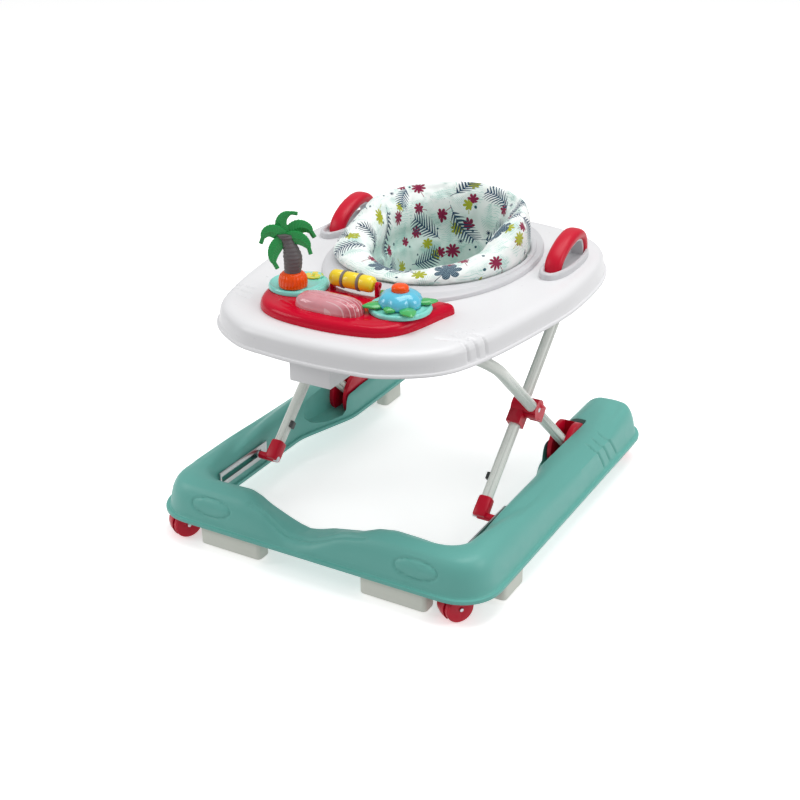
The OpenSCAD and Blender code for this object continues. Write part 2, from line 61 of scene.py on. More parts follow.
def spline(points, steps=8, closed=False):
    """Smooth curve through the points."""
    p = np.asarray(points, float)
    if closed:
        p = np.vstack([p[-1], p, p[0], p[1]])
    else:
        p = np.vstack([2 * p[0] - p[1], p, 2 * p[-1] - p[-2]])
    out = []
    for i in range(1, len(p) - 2):
        for t in np.arange(steps) / steps:
            a, b, c, d = p[i - 1], p[i], p[i + 1], p[i + 2]
            quadratic = (2 * a - 5 * b + 4 * c - d) * t * t
            cubic = (3 * b - a - 3 * c + d) * t ** 3
            out.append((2 * b + (c - a) * t + quadratic + cubic) / 2)
    if not closed:
        out.append(p[-2])
    return np.array(out)


def resample(points, count, ends=True):
    """That many points at even spacing along a line."""
    p = np.asarray(points, float)
    run = np.concatenate([[0], np.cumsum(np.linalg.norm(np.diff(p, axis=0), axis=1))])
    at = np.linspace(0, run[-1], count + (0 if ends else 1))
    at = at if ends else at[:-1]
    return np.stack([np.interp(at, run, p[:, i]) for i in range(p.shape[1])], axis=1)


def circle(n):
    """Even angles once round."""
    return np.linspace(0, 2 * math.pi, n, endpoint=False)


def squared(wave, power):
    """A sine or cosine with its corners filled out, or pinched where the power is above 1."""
    return np.sign(wave) * np.abs(wave) ** power


def level(z, *across):
    """A ring at one height, from x and back or from an array of both."""
    return np.column_stack([*across, np.full(len(across[0]), float(z))])


def arc(cx, cy, r, start, end, n=12):
    a = np.radians(np.linspace(start, end, n + 1))
    return np.stack([cx + r * np.cos(a), cy + r * np.sin(a)], axis=1)


def ellipse(rx, ry, back, n=160):
    a = circle(n)
    return np.stack([rx * np.cos(a), back + ry * np.sin(a)], axis=1)


def inward(loop):
    """Unit vectors across a closed loop, towards its inside."""
    step = np.roll(loop, -1, axis=0) - np.roll(loop, 1, axis=0)
    step /= np.linalg.norm(step, axis=1)[:, None]
    across = np.stack([-step[:, 1], step[:, 0]], axis=1)
    x, y = loop[:, 0], loop[:, 1]
    area = np.sum(x * np.roll(y, -1) - np.roll(x, -1) * y)
    return across if area > 0 else -across


def smooth_step(x, low, high):
    t = np.clip((np.asarray(x, float) - low) / (high - low), 0, 1)
    return t * t * (3 - 2 * t)


# ---- Modelling ----

def deselect():
    if bpy.context.object and bpy.context.object.mode != "OBJECT":
        bpy.ops.object.mode_set(mode="OBJECT")
    bpy.ops.object.select_all(action="DESELECT")


def choose(piece):
    deselect()
    piece.hide_set(False)
    piece.select_set(True)
    bpy.context.view_layer.objects.active = piece


def rename(piece, name):
    piece.name = name
    piece.data.name = name


def fetch(items, key, kind=np.float32):
    out = np.empty(len(items), kind)
    items.foreach_get(key, out)
    return out


def fetch_vectors(items, key, kind=np.float32):
    out = np.empty(len(items) * 3, kind)
    items.foreach_get(key, out)
    return out.reshape(-1, 3).astype(float)


def coordinates(piece):
    return fetch_vectors(piece.data.vertices, "co", float)


def set_coordinates(piece, co):
    piece.data.vertices.foreach_set("co", np.asarray(co, float).ravel())
    piece.data.update()


def normals(piece):
    return fetch_vectors(piece.data.vertex_normals, "vector")


def edit_all(piece):
    """Edit mode with the whole mesh selected."""
    choose(piece)
    bpy.ops.object.mode_set(mode="EDIT")
    bpy.ops.mesh.select_all(action="SELECT")


def leave_edit():
    bpy.ops.object.mode_set(mode="OBJECT")


def merge(piece, distance=2e-5, outwards=True):
    edit_all(piece)
    bpy.ops.mesh.remove_doubles(threshold=distance)
    if outwards:
        bpy.ops.mesh.normals_make_consistent(inside=False)
    leave_edit()


def face_up(piece):
    """Turns an open surface over if most of it looks down."""
    mesh = piece.data
    area = sum(f.area * f.normal.z for f in mesh.polygons)
    if area < 0:
        edit_all(piece)
        bpy.ops.mesh.flip_normals()
        leave_edit()


def grid(name, rings, closed=True):
    """A grid moved onto rows of (x, back, z) points."""
    rings = np.asarray(rings, float)
    if closed:
        rings = np.concatenate([rings, rings[:, :1]], axis=1)
    rows, cols = rings.shape[:2]
    deselect()
    bpy.ops.mesh.primitive_grid_add(x_subdivisions=cols - 1, y_subdivisions=rows - 1, size=1)
    piece = bpy.context.object
    rename(piece, name)
    co = coordinates(piece)
    i = np.rint((co[:, 0] + 0.5) * (cols - 1)).astype(int)
    j = np.rint((co[:, 1] + 0.5) * (rows - 1)).astype(int)
    set_coordinates(piece, place(rings[j, i]))
    return piece


def loft(name, rings, closed=True):
    piece = grid(name, rings, closed)
    merge(piece)
    return piece


def pole(point, n):
    return np.repeat(np.asarray(point, float)[None, :], n, axis=0)


def turned(name, centre, profile, n=48, ribs=0, rib=0.0, lean=None):
    """Turned piece on an upright axis: profile is (radius, z) from the bottom axis to the top axis."""
    a = circle(n)
    rings = []
    for step in profile:
        r, z = step[:2]
        depth = step[2] * rib if len(step) > 2 else 0.0
        wave = r - depth * (0.5 + 0.5 * np.cos(ribs * a))
        shift = lean(z) if lean else (0.0, 0.0)
        x = centre[0] + shift[0] + wave * np.cos(a)
        y = centre[1] + shift[1] + wave * np.sin(a)
        rings.append(level(z, x, y))
    return loft(name, rings)


def modify(piece, kind, **settings):
    """Adds a modifier and applies it."""
    choose(piece)
    mod = piece.modifiers.new(kind.lower(), kind)
    for key, value in settings.items():
        setattr(mod, key, value)
    bpy.ops.object.modifier_apply(modifier=mod.name)
    return piece


def thicken(piece, wall):
    return modify(piece, "SOLIDIFY", thickness=wall * MM, offset=-1.0, use_even_offset=True)


def round_edges(piece, width, segments=3, angle=35):
    return modify(
        piece,
        "BEVEL",
        width=width * MM,
        segments=segments,
        limit_method="ANGLE",
        angle_limit=math.radians(angle),
        harden_normals=False,
    )


def cut(piece, cutter):
    modify(piece, "BOOLEAN", operation="DIFFERENCE", solver="EXACT", object=cutter)
    bpy.data.objects.remove(cutter, do_unlink=True)
    return piece


def join(pieces):
    deselect()
    for piece in pieces:
        piece.select_set(True)
    bpy.context.view_layer.objects.active = pieces[0]
    bpy.ops.object.join()
    return pieces[0]


def select_faces(piece, chosen):
    mesh = piece.data
    mesh.polygons.foreach_set("select", np.asarray(chosen, bool))
    mesh.vertices.foreach_set("select", np.zeros(len(mesh.vertices), bool))
    mesh.edges.foreach_set("select", np.zeros(len(mesh.edges), bool))


def face_centres(piece):
    return fetch_vectors(piece.data.polygons, "center")


def distance_to(points, path):
    """Distance of each point from a line of points."""
    best = np.full(len(points), 1e9)
    for a, b in zip(path[:-1], path[1:]):
        ab = b - a
        t = np.clip((points - a) @ ab / max(ab @ ab, 1e-12), 0, 1)
        best = np.minimum(best, np.linalg.norm(points - a - t[:, None] * ab, axis=1))
    return best


def press(piece, path, width, depth, cuts=2):
    """A groove (or a ridge, where depth is below zero) along a line on the surface."""
    line = place(path)
    surface = piece.closest_point_on_mesh
    line = np.array([surface(Vector(point))[1] for point in line])
    choose(piece)
    near = distance_to(face_centres(piece), line) < (2.2 * width + 4) * MM
    select_faces(piece, near)
    bpy.context.tool_settings.mesh_select_mode = (False, False, True)
    bpy.ops.object.mode_set(mode="EDIT")
    bpy.ops.mesh.subdivide(number_cuts=cuts)
    bpy.ops.object.mode_set(mode="OBJECT")
    co = coordinates(piece)
    away = distance_to(co, line) / (width * MM)
    co -= normals(piece) * (depth * MM * np.exp(-(away ** 2)))[:, None]
    set_coordinates(piece, co)


def block(name, low, high, radius=0.0, segments=3):
    """Rounded block between two corners."""
    low, high = place(low), place(high)
    deselect()
    bpy.ops.mesh.primitive_cube_add(size=1, location=(0, 0, 0))
    piece = bpy.context.object
    rename(piece, name)
    set_coordinates(piece, (coordinates(piece) + 0.5) * (high - low) + low)
    if radius:
        round_edges(piece, radius, segments)
    return piece


# ---- Materials ----

def srgb(r, g, b):
    out = []
    for c in (r, g, b):
        c = c / 255
        out.append(c / 12.92 if c <= 0.04045 else ((c + 0.055) / 1.055) ** 2.4)
    return (*out, 1.0)


class Nodes:
    """A material's node tree, with short calls for the nodes used here."""

    def __init__(self, name):
        self.material = bpy.data.materials.new(name)
        self.material.use_nodes = True
        self.tree = self.material.node_tree
        self.shader = self.tree.nodes["Principled BSDF"]

    def add(self, kind, **settings):
        node = self.tree.nodes.new("ShaderNode" + kind)
        for key, value in settings.items():
            setattr(node, key, value)
        return node

    def link(self, out, to):
        self.tree.links.new(out, to)

    def colour(self, out):
        self.link(out, self.shader.inputs["Base Color"])

    def gloss(self, out):
        self.link(out, self.shader.inputs["Roughness"])

    def set(self, **sockets):
        for key, value in sockets.items():
            self.shader.inputs[key.replace("_", " ")].default_value = value

    def put(self, socket, value):
        if isinstance(value, bpy.types.NodeSocket):
            self.link(value, socket)
        else:
            socket.default_value = value

    def math(self, operation, a, b=0.0, c=0.0, clamp=False):
        node = self.add("Math", operation=operation, use_clamp=clamp)
        for socket, value in zip(node.inputs, (a, b, c)):
            self.put(socket, value)
        return node.outputs[0]

    def plus(self, a, b):
        return self.math("ADD", a, b)

    def minus(self, a, b, clamp=False):
        return self.math("SUBTRACT", a, b, clamp=clamp)

    def times(self, a, b):
        return self.math("MULTIPLY", a, b)

    def over(self, a, b):
        return self.math("DIVIDE", a, b)

    def size(self, a):
        return self.math("ABSOLUTE", a)

    def root(self, a):
        return self.math("SQRT", a)

    def above(self, value, limit):
        return self.math("GREATER_THAN", value, limit)

    def below(self, value, limit):
        return self.math("LESS_THAN", value, limit)

    def row(self, value):
        """How far a value is from the middle of its unit step."""
        return self.size(self.minus(self.math("FRACT", value), 0.5))

    def reach(self, x, y):
        return self.root(self.plus(self.times(x, x), self.times(y, y)))

    def blend(self, factor, a, b):
        node = self.add("Mix", data_type="RGBA")
        self.put(node.inputs[0], factor)
        self.put(node.inputs[6], a)
        self.put(node.inputs[7], b)
        return node.outputs[2]

    def coordinate(self, kind="Object"):
        return self.add("TexCoord").outputs[kind]

    def texture(self, kind, vector, sockets, **settings):
        node = self.add(kind, **settings)
        self.link(vector, node.inputs["Vector"])
        for key, value in sockets.items():
            node.inputs[key].default_value = value
        return node

    def noise(self, vector, scale, detail=3.0, rough=0.5):
        sockets = {"Scale": scale, "Detail": detail, "Roughness": rough, "Distortion": 0.0}
        return self.texture("TexNoise", vector, sockets).outputs[0]

    def span(self, value, low, high, to_low, to_high):
        node = self.add("MapRange")
        self.put(node.inputs[0], value)
        for i, v in enumerate((low, high, to_low, to_high)):
            node.inputs[i + 1].default_value = v
        return node.outputs[0]

    def bump(self, height, strength, distance):
        node = self.add("Bump")
        node.inputs["Strength"].default_value = strength
        node.inputs["Distance"].default_value = distance
        self.link(height, node.inputs["Height"])
        self.link(node.outputs[0], self.shader.inputs["Normal"])


def shade(colour, factor):
    return (*[min(1.0, c * factor) for c in colour[:3]], 1.0)


def plastic(name, colour, rough=0.35, grain=900.0, depth=0.00004, vary=0.05, coat=0.0, **sockets):
    """Moulded plastic: fine grain, slow colour drift and uneven gloss."""
    n = Nodes(name)
    at = n.coordinate()
    drift = n.noise(at, 7.0, 2.0)
    scuff = n.noise(at, 55.0, 5.0, 0.65)
    tone = n.blend(drift, shade(colour, 1 - vary), shade(colour, 1 + vary))
    n.colour(tone)
    n.gloss(n.span(scuff, 0.3, 0.7, rough - 0.05, rough + 0.07))
    n.bump(n.noise(at, grain, 2.0), 0.35, depth)
    n.set(Coat_Weight=coat, Coat_Roughness=0.08, **sockets)
    return n.material


TEAL = plastic("teal_moulded", srgb(103, 178, 168), rough=0.42, grain=1400, depth=0.00005, vary=0.04)
RED = plastic("red_moulded", srgb(202, 8, 44), rough=0.34, grain=700, depth=0.00003, Specular_IOR_Level=0.3)
RED_GLOSS = plastic("red_glossy", srgb(200, 0, 42), 0.13, grain=300, depth=0.00001, Specular_IOR_Level=0.2)
WHITE = plastic("white_moulded", srgb(229, 229, 231), rough=0.32, grain=900, depth=0.00001, vary=0.008)
RING_GREY = plastic("grey_moulded", srgb(205, 205, 208), rough=0.38, grain=1200, depth=0.00003, vary=0.02)
BRACKET = plastic("bracket_white", srgb(222, 226, 220), rough=0.4, vary=0.02)
PAD = plastic("stopper_rubber", srgb(224, 228, 218), rough=0.6, grain=600, depth=0.00008, vary=0.03)
DARK = plastic("dark_plastic", srgb(52, 56, 56), rough=0.45)
AQUA = plastic("aqua_gloss", srgb(133, 220, 208), rough=0.16, grain=300, depth=0.00001, coat=0.3)
ORANGE = plastic("orange_gloss", srgb(246, 82, 4), 0.16, grain=300, depth=0.00001, Specular_IOR_Level=0.3)
TRUNK = plastic("trunk_grey", srgb(98, 92, 94), rough=0.55, grain=320, depth=0.0005, vary=0.18)
LEAF = plastic("leaf_green", srgb(32, 156, 76), rough=0.4, grain=500, depth=0.0001, vary=0.12)
YELLOW = plastic("yellow_gloss", srgb(254, 222, 40), rough=0.16, grain=300, depth=0.00001, coat=0.3)
SEA_BLUE = plastic("turtle_blue", srgb(88, 194, 224), rough=0.14, grain=300, depth=0.00001, coat=0.7)
FLIPPER = plastic("flipper_green", srgb(66, 178, 92), rough=0.2, grain=300, depth=0.00001, coat=0.5)
GREY_RUBBER = plastic("grey_rings", srgb(128, 122, 122), rough=0.5)
BOARD = plastic("board_green", srgb(30, 96, 54), rough=0.4, grain=400, depth=0.0002, vary=0.2)


def steel(name, colour, rough):
    n = Nodes(name)
    at = n.coordinate()
    n.set(Metallic=1.0)
    brushed = n.noise(at, 260.0, 3.0)
    n.colour(n.blend(brushed, shade(colour, 0.85), colour))
    n.gloss(n.span(brushed, 0.2, 0.8, rough - 0.08, rough + 0.1))
    n.bump(brushed, 0.2, 0.00003)
    return n.material


def enamel(name):
    """Powder-coated tube: satin paint with a slight orange peel."""
    n = Nodes(name)
    at = n.coordinate()
    peel = n.noise(at, 420.0, 2.0)
    wear = n.noise(at, 30.0, 4.0, 0.6)
    n.colour(n.blend(wear, srgb(232, 236, 229), srgb(242, 245, 239)))
    n.gloss(n.span(peel, 0.2, 0.8, 0.24, 0.34))
    n.bump(peel, 0.3, 0.00008)
    return n.material


STEEL = steel("pin_steel", srgb(196, 198, 202), 0.28)
RAIL = steel("rail_steel", srgb(186, 190, 190), 0.34)
TUBE = enamel("tube_enamel")


# ---- Finishing a piece ----

def fit(piece, body, slot, material, *nodes, angle=38):
    """Gives a piece its finish and the body it moves with."""
    choose(piece)
    bpy.ops.object.shade_smooth_by_angle(angle=math.radians(angle))
    piece.data.materials.clear()
    piece.data.materials.append(material)
    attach(piece, body)
    if nodes:
        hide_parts(*nodes)
    return piece


def body_holding(node):
    bodies = frame["record"]["behaviour"]["bodies"]
    return next(name for name, members in bodies.items() if node in members)


def refined(node, slot, material, bevel=0.7, segments=2, angle=40, ceiling=None):
    """The CAD part's own shape with rounded edges and smooth faces, no higher than a ceiling."""
    piece = frame["nodes"][node].copy()
    piece.data = frame["nodes"][node].data.copy()
    for key in [k for k in piece.keys() if k.startswith("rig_")]:
        del piece[key]
    rename(piece, node + "_finished")
    piece.parent = None
    piece.matrix_world = Matrix.Identity(4)
    bpy.context.scene.collection.objects.link(piece)
    merge(piece, 1e-6, outwards=False)
    if ceiling:
        co = coordinates(piece)
        co[:, 2] = np.minimum(co[:, 2], ceiling * MM)
        set_coordinates(piece, co)
    edit_all(piece)
    bpy.ops.mesh.dissolve_limited(angle_limit=math.radians(1.5))
    leave_edit()
    if bevel:
        round_edges(piece, bevel, segments, angle)
    return fit(piece, body_holding(node), slot, material, node)


# ---- Rolling base ----

BASE_BEAD = 47.0
BASE_TOP = 105.0

def base_loop():
    """Outline of the base from the left arm's rear end, forwards and round to it again.

    Points k and -k face each other across the arm or the front bar."""
    rear = (232.5, 684.0)
    outside = [
        (np.vstack([[rear], arc(241, 624, 60, 90, 0)]), 24),
        ([(301, 624), (301, 458)], 28),
        ([(301, 458), (301, 338)], 20),
        ([(301, 338), (301, 98)], 40),
        (np.vstack([[(301, 98)], arc(239, 66, 62, 0, -90), [(207, 4)]]), 30),
        ([(207, 4), (0, 4)], 36),
    ]
    inside = [
        (np.vstack([[rear], arc(224, 654, 30, 90, 180), [(194, 624)]]), 24),
        ([(194, 624), (194, 458)], 28),
        ([(194, 458), (232, 338)], 20),
        ([(232, 338), (232, 98)], 40),
        (arc(207, 98, 25, 0, -90), 30),
        ([(207, 73), (0, 73)], 36),
    ]
    outer = np.vstack([resample(p, n, ends=False) for p, n in outside])
    inner = np.vstack([resample(p, n, ends=False) for p, n in inside])
    flip = np.array([-1.0, 1.0])
    outer = np.vstack([outer * flip, [[0.0, 4.0]], outer[:0:-1]])
    inner = np.vstack([inner * flip, [[0.0, 73.0]], inner[:0:-1]])
    half = len(outer)
    loop = np.vstack([outer, [[232.5, 684.0]], inner[:0:-1]])
    for _ in range(6):
        loop = 0.5 * loop + 0.25 * (np.roll(loop, 1, axis=0) + np.roll(loop, -1, axis=0))
    return loop, half


def banded(name, loop, half, levels, top_rise=0.0, crown=10, floor=True):
    """Closed solid over a loop. Each level is (inset, z) per point, from the lower edge to the crown."""
    into = inward(loop)
    rings = []
    for inset, z in levels:
        inset = np.broadcast_to(inset, len(loop))
        z = np.broadcast_to(z, len(loop))
        rings.append(np.column_stack([loop + into * inset[:, None], z]))
    parts = [grid(name, rings)]
    ends = [(rings[-1], top_rise)]
    if floor:
        ends.append((rings[0], 0.0))
    for ring, rise in ends:
        a = ring[:half + 1]
        b = np.vstack([ring[:1], ring[:half - 1:-1]])
        rows = []
        for t in np.linspace(0, 1, crown + 1):
            row = a * (1 - t) + b * t
            row[:, 2] += 4 * t * (1 - t) * rise
            rows.append(row)
        parts.append(grid(name + "_cap", rows, closed=False))
    piece = join(parts)
    merge(piece, 4e-5)
    return piece


def scoop_height(x, back):
    """Height of the front bar's top: dished in the middle, lowest left of centre at the rear edge."""
    front_at = [-130, -112, -92, -60, -45, -22, 0, 15, 40, 61, 90, 120]
    front_z = [104, 101, 95, 70, 62, 61, 66, 74, 90, 97, 102, 105]
    rear_at = [-140, -122, -105, -72, -52, -34, -11, 14, 44, 71, 100, 130]
    rear_z = [104, 97, 86, 70, 61, 56, 63, 73, 80, 86, 99, 105]
    near = np.interp(x, front_at, front_z)
    far = np.interp(x, rear_at, rear_z)
    t = smooth_step(back, 16, 60)
    return near * (1 - t) + far * t


def shape_base(piece):
    co = in_mm(coordinates(piece))
    x, back, z = co[:, 0], co[:, 1], co[:, 2]
    side = np.abs(x)
    low = BASE_BEAD
    top = np.where(back < 96, scoop_height(x, back), BASE_TOP)
    z = np.where(z > low, low + (z - low) * (top - low) / (BASE_TOP - low), z)
    outer = smooth_step(side, 228, 276)
    lift = 1 + 0.05 * smooth_step(back, 520, 630) * outer - 0.34 * smooth_step(back, 634, 686)
    z = np.where(z > low, low + (z - low) * lift, z)
    inner_dip = smooth_step(back, 440, 480) * (1 - smooth_step(side, 196, 226))
    z = np.where(z > 80, z - 8 * inner_dip * smooth_step(z, 80, 100), z)
    co[:, 2] = z
    set_coordinates(piece, place(co))


def valley(piece):
    """The long valley between the two crowns of each arm."""
    co = coordinates(piece)
    path = spline([(150, 44, 0), (196, 60, 0), (222, 100, 0), (251, 171, 0), (268, 250, 0), (277, 342, 0),
                   (284, 496, 0), (270, 590, 0), (262, 640, 0)], 6)
    flat = co.copy()
    flat[:, 0] = np.abs(flat[:, 0])
    flat[:, 2] = 0
    away = distance_to(flat, place(path)) / (12 * MM)
    back = co[:, 1] / MM + BASE_HALF
    fade = smooth_step(back, 40, 90) * (1 - smooth_step(back, 600, 660))
    crown = smooth_step(co[:, 2] / MM, 84, 97)
    co[:, 2] -= 6.5 * MM * np.exp(-(away ** 2)) * fade * crown
    set_coordinates(piece, co)


def pocket_cutters(side):
    """Well for the hub with the channel before it, and the slot the foot slides in."""
    well = [
        (341, 214, 8, 84), (352, 216, 15, 74), (372, 219, 18, 62), (400, 219, 20, 54.5),
        (440, 219, 20.5, 51.5), (500, 221, 20, 51), (532, 221, 20, 51), (541, 221, 18, 54),
    ]
    rings = [pole((side * 214, 336, 100), 28)]
    for back, centre, half, depth in well:
        bottom = [(-half, 150), (-half, depth + 8), (-half + 2.5, depth + 2.5), (-half + 8, depth)]
        outline = bottom + [(-q[0], q[1]) for q in bottom[::-1]]
        points = resample(np.array(outline + [outline[0]], float), 28, ends=False)
        ring = [(side * (centre + u), back, w) for u, w in points]
        rings.append(np.array(ring))
    rings.append(pole((side * 221, 542, 110), 28))
    deep = loft("well", rings)
    near, far = sorted((side * 224, side * 241))
    slot = block("slot", (near, 94, 66), (far, 222, 82), 1.2, 2)
    return [deep, slot]


def lower_inner_lip(piece):
    """The inner wall of each arm dips beside the well, down to the level of the hub."""
    co = in_mm(coordinates(piece))
    side = np.abs(co[:, 0])
    back = co[:, 1]
    along = smooth_step(back, 352, 378) * (1 - smooth_step(back, 432, 462))
    beside = (1 - smooth_step(side, 203, 212)) * along
    limit = 110 - 32 * beside
    z = co[:, 2]
    co[:, 2] = np.where((z > limit) & (beside > 0.01), limit + 0.06 * (z - limit), z)
    set_coordinates(piece, place(co))


def base_shell():
    loop, half = base_loop()
    n = len(loop)
    k = np.arange(n)
    # 1 on the outer side, 0 on the inner side, blended round the rear ends
    reach = 26
    w = np.where((k > 0) & (k < half), 1.0, 0.0)
    for end in (0, half):
        gap = ((k - end + n // 2) % n) - n // 2
        sign = 1 if end == 0 else -1
        blended = smooth_step(sign * gap, -reach, reach)
        w = np.where(np.abs(gap) <= reach, blended, w)
    bead = [(2, 50), (-3.2, 42.6), (-3.8, 41.8), (-4.6, 42.2), (-4.9, 45.6), (-4.0, 47.6)]
    outer = bead + [(1.2, 48.2), (2.6, 50.4), (4, 58), (6, 68), (8.5, 78), (11.5, 86), (15.5, 93),
                    (20, 98.4), (25, 101.8), (31, 103.2)]
    inner = bead + [(0.2, 48.2), (0.6, 50.4), (0.9, 58), (1.2, 68), (1.8, 78), (3.0, 86), (5.4, 93),
                    (9, 99), (13.5, 102.4), (18, 104)]
    levels = []
    for (do, zo), (di, zi) in zip(outer, inner):
        levels.append((w * do + (1 - w) * di, w * zo + (1 - w) * zi))
    piece = banded("base_body", loop, half, levels, top_rise=2.0, crown=14)
    shape_base(piece)
    valley(piece)
    lower_inner_lip(piece)
    for side in (-1, 1):
        for cutter in pocket_cutters(side):
            cut(piece, cutter)
    crease = spline([(-118, 22, 102), (-92, 20, 95), (-60, 22, 68), (-45, 24, 60),
                     (-22, 26, 61), (15, 22, 74), (61, 20, 97), (92, 24, 102)], 6)
    press(piece, crease, 3.6, 2.6)
    for side in (-1, 1):
        oval = ellipse(37, 16, 0, 40)
        line = [(side * 188 + u, 8.5 + 0.11 * (v + 16), 77 + v) for u, v in oval]
        line.append(line[0])
        press(piece, line, 2.0, 2.2)
        press(piece, [(side * 188 + u, 9.5, 77) for u in np.linspace(-22, 22, 12)], 9.0, -1.6, cuts=0)
        for start, end in ((466, 488), (490, 514), (516, 544)):
            rib = spline([(side * 276, start, 108), (side * 288, start + 4, 99),
                          (side * 294, (start + end) / 2, 80), (side * 298, end, 54)], 5)
            press(piece, rib, 1.9, 3.2)
    return fit(piece, "base", "teal_shell", TEAL, "base_shell", angle=32)


# ---- Tray ----

TRAY_TOP = 408.0
TRAY_MIDDLE = 400.0
TRAY_HALF = [(0, 10), (60, 13), (125, 25), (195, 76), (228, 155), (252, 280), (265, 400),
             (252, 545), (205, 632), (110, 672), (0, 680)]
TRAY_RIBS = [
    [(166, 116, 408), (184, 121, 408), (198, 124, 406), (207, 122, 401), (212, 121, 392), (214, 121, 380)],
    [(174, 134, 408), (194, 138, 408), (209, 140, 406), (217, 139, 401), (221, 138, 392), (223, 138, 380)],
    [(182, 152, 408), (203, 156, 408), (218, 158, 406), (225, 157, 401), (229, 156, 392), (231, 156, 380)],
]
HOLE = (150.0, 174.0, 430.0)
RING = (170.0, 231.0, 421.0)


def tray_loop(n=288):
    right = TRAY_HALF
    left = [(-x, b) for x, b in right[-2:0:-1]]
    line = spline(right + left, 12, closed=True)
    a = np.unwrap(np.arctan2(line[:, 1] - TRAY_MIDDLE, line[:, 0]))
    order = np.argsort(a)
    want = circle(n) + a[order][0]
    r = np.hypot(line[:, 0], line[:, 1] - TRAY_MIDDLE)[order]
    full_a = np.concatenate([a[order], a[order][:1] + 2 * math.pi])
    radius = np.interp(want, full_a, np.concatenate([r, r[:1]]))
    return np.stack([radius * np.cos(want), TRAY_MIDDLE + radius * np.sin(want)], axis=1), want


def tray_shell():
    loop, angle = tray_loop()
    into = inward(loop)
    rings = []
    edge = [(-4, 372), (-4.4, 374), (-3.4, 376), (-0.6, 377), (0.4, 380), (1.2, 388), (2.6, 396), (5, 401),
            (9, 404.6), (14, 406.6), (20, 407.7), (27, 408)]
    for inset, z in edge:
        rings.append(level(z, loop + into * inset))
    crown = rings[-1]
    rx, ry, back = HOLE[0] + 8.5, HOLE[1] + 8.5, HOLE[2]
    rim = np.stack([rx * np.cos(angle), back + ry * np.sin(angle)], axis=1)
    for t in np.linspace(0.05, 1.0, 20):
        flat = crown[:, :2] * (1 - t) + rim * t
        rings.append(level(TRAY_TOP, flat))
    rings.append(level(396.0, rim))
    piece = loft("tray_body", rings)
    face_up(piece)
    for side in (-1, 1):
        for rib in TRAY_RIBS:
            line = spline([(side * x, back, z) for x, back, z in rib], 6)
            press(piece, line, 2.3, 2.6, cuts=3)
    thicken(piece, 3.0)
    return fit(piece, "tray", "white_tray", WHITE, "tray_shell", angle=30)


def seat_ring():
    n = 160
    outer = ellipse(RING[0], RING[1], RING[2], n)
    inner = ellipse(HOLE[0], HOLE[1], HOLE[2], n)
    steps = [(0.0, 408.2), (0.0, 411.5), (0.03, 414), (0.1, 415.6), (0.2, 416.0), (0.46, 415.6),
             (0.52, 416.2), (0.58, 418.2), (0.7, 419.2), (0.86, 419.0), (0.96, 417.2), (1.0, 413),
             (1.0, 400), (1.0, 393)]
    rings = []
    for t, z in steps:
        rings.append(level(z, outer * (1 - t) + inner * t))
    under = ellipse(HOLE[0] + 7.5, HOLE[1] + 7.5, HOLE[2], n)
    rings.append(level(393.0, under))
    rings.append(level(408.2, under))
    rings.append(rings[0])
    piece = loft("ring_trim", rings)
    return fit(piece, "tray", "grey_ring", RING_GREY, "seat_ring", angle=30)


# ---- Handles ----

def across(line, i):
    """Unit vector across a line of (back, z) points, at one of them."""
    ahead = line[min(i + 1, len(line) - 1)] - line[max(i - 1, 0)]
    ahead /= np.linalg.norm(ahead)
    return np.array([-ahead[1], ahead[0]])


def capped(rings):
    """The rings with a pole in the middle of each end ring."""
    n = len(rings[0])
    return [pole(rings[0].mean(axis=0), n)] + rings + [pole(rings[-1].mean(axis=0), n)]


def handle(side):
    name = "left" if side < 0 else "right"
    x0 = side * 205
    line = spline([(446, 396), (441, 412), (450, 428), (471, 441), (496, 449),
                   (520, 451), (538, 444), (547, 428), (548, 410), (547, 396)], 6)
    rings = []
    count = 24
    around = circle(count)
    c, s = np.cos(around), np.sin(around)
    for i, (b, z) in enumerate(line):
        up = across(line, i)
        t = i / (len(line) - 1)
        wide = 14 + 1.5 * math.sin(math.pi * t)
        thick = 8.0 + 1.8 * math.sin(math.pi * min(1, t * 1.2))
        sx = squared(c, 0.75) * wide
        su = squared(s, 0.85) * thick
        rings.append(np.column_stack([x0 + sx, b + up[0] * su, z + up[1] * su]))
    ends = [np.array([x0, *line[0]]), np.array([x0, *line[-1]])]
    rings = [pole(ends[0], count)] + rings + [pole(ends[1], count)]
    grip = loft("grip_" + name, rings)
    fit(grip, "tray", "handle_grip", RED, "handle_grip_" + name, angle=50)

    inner = []
    for i, (b, z) in enumerate(line):
        up = across(line, i)
        su = squared(s, 0.6) * 3.0 - 8.6
        sx = squared(c, 0.5) * 11.5
        inner.append(np.column_stack([x0 + sx, b + up[0] * su, z + up[1] * su]))
    liner = loft("grip_liner_" + name, capped(inner))
    fit(liner, "tray", "handle_base", RING_GREY, angle=50)

    n = 64
    a = circle(n)
    shell = []
    c, s = np.cos(a), np.sin(a)
    for grow, z in ((0, 408), (0, 414), (-0.8, 417), (-3, 418.8), (-6, 419), (-7.5, 417.5), (-8.5, 411)):
        rx = 25 + grow
        ry = 80 + grow
        x = x0 + side * 3 + squared(c, 0.9) * rx * (1 - 0.12 * s)
        b = 484 + squared(s, 0.9) * ry
        shell.append(level(z, x, b))
    shell.append(pole((x0 + side * 3, 484, 409.5), n))
    shell.insert(0, pole((x0 + side * 3, 484, 408), n))
    base = loft("handle_well_" + name, shell)
    fit(base, "tray", "handle_base", RING_GREY, "handle_base_" + name, angle=35)


# ---- Play panel ----

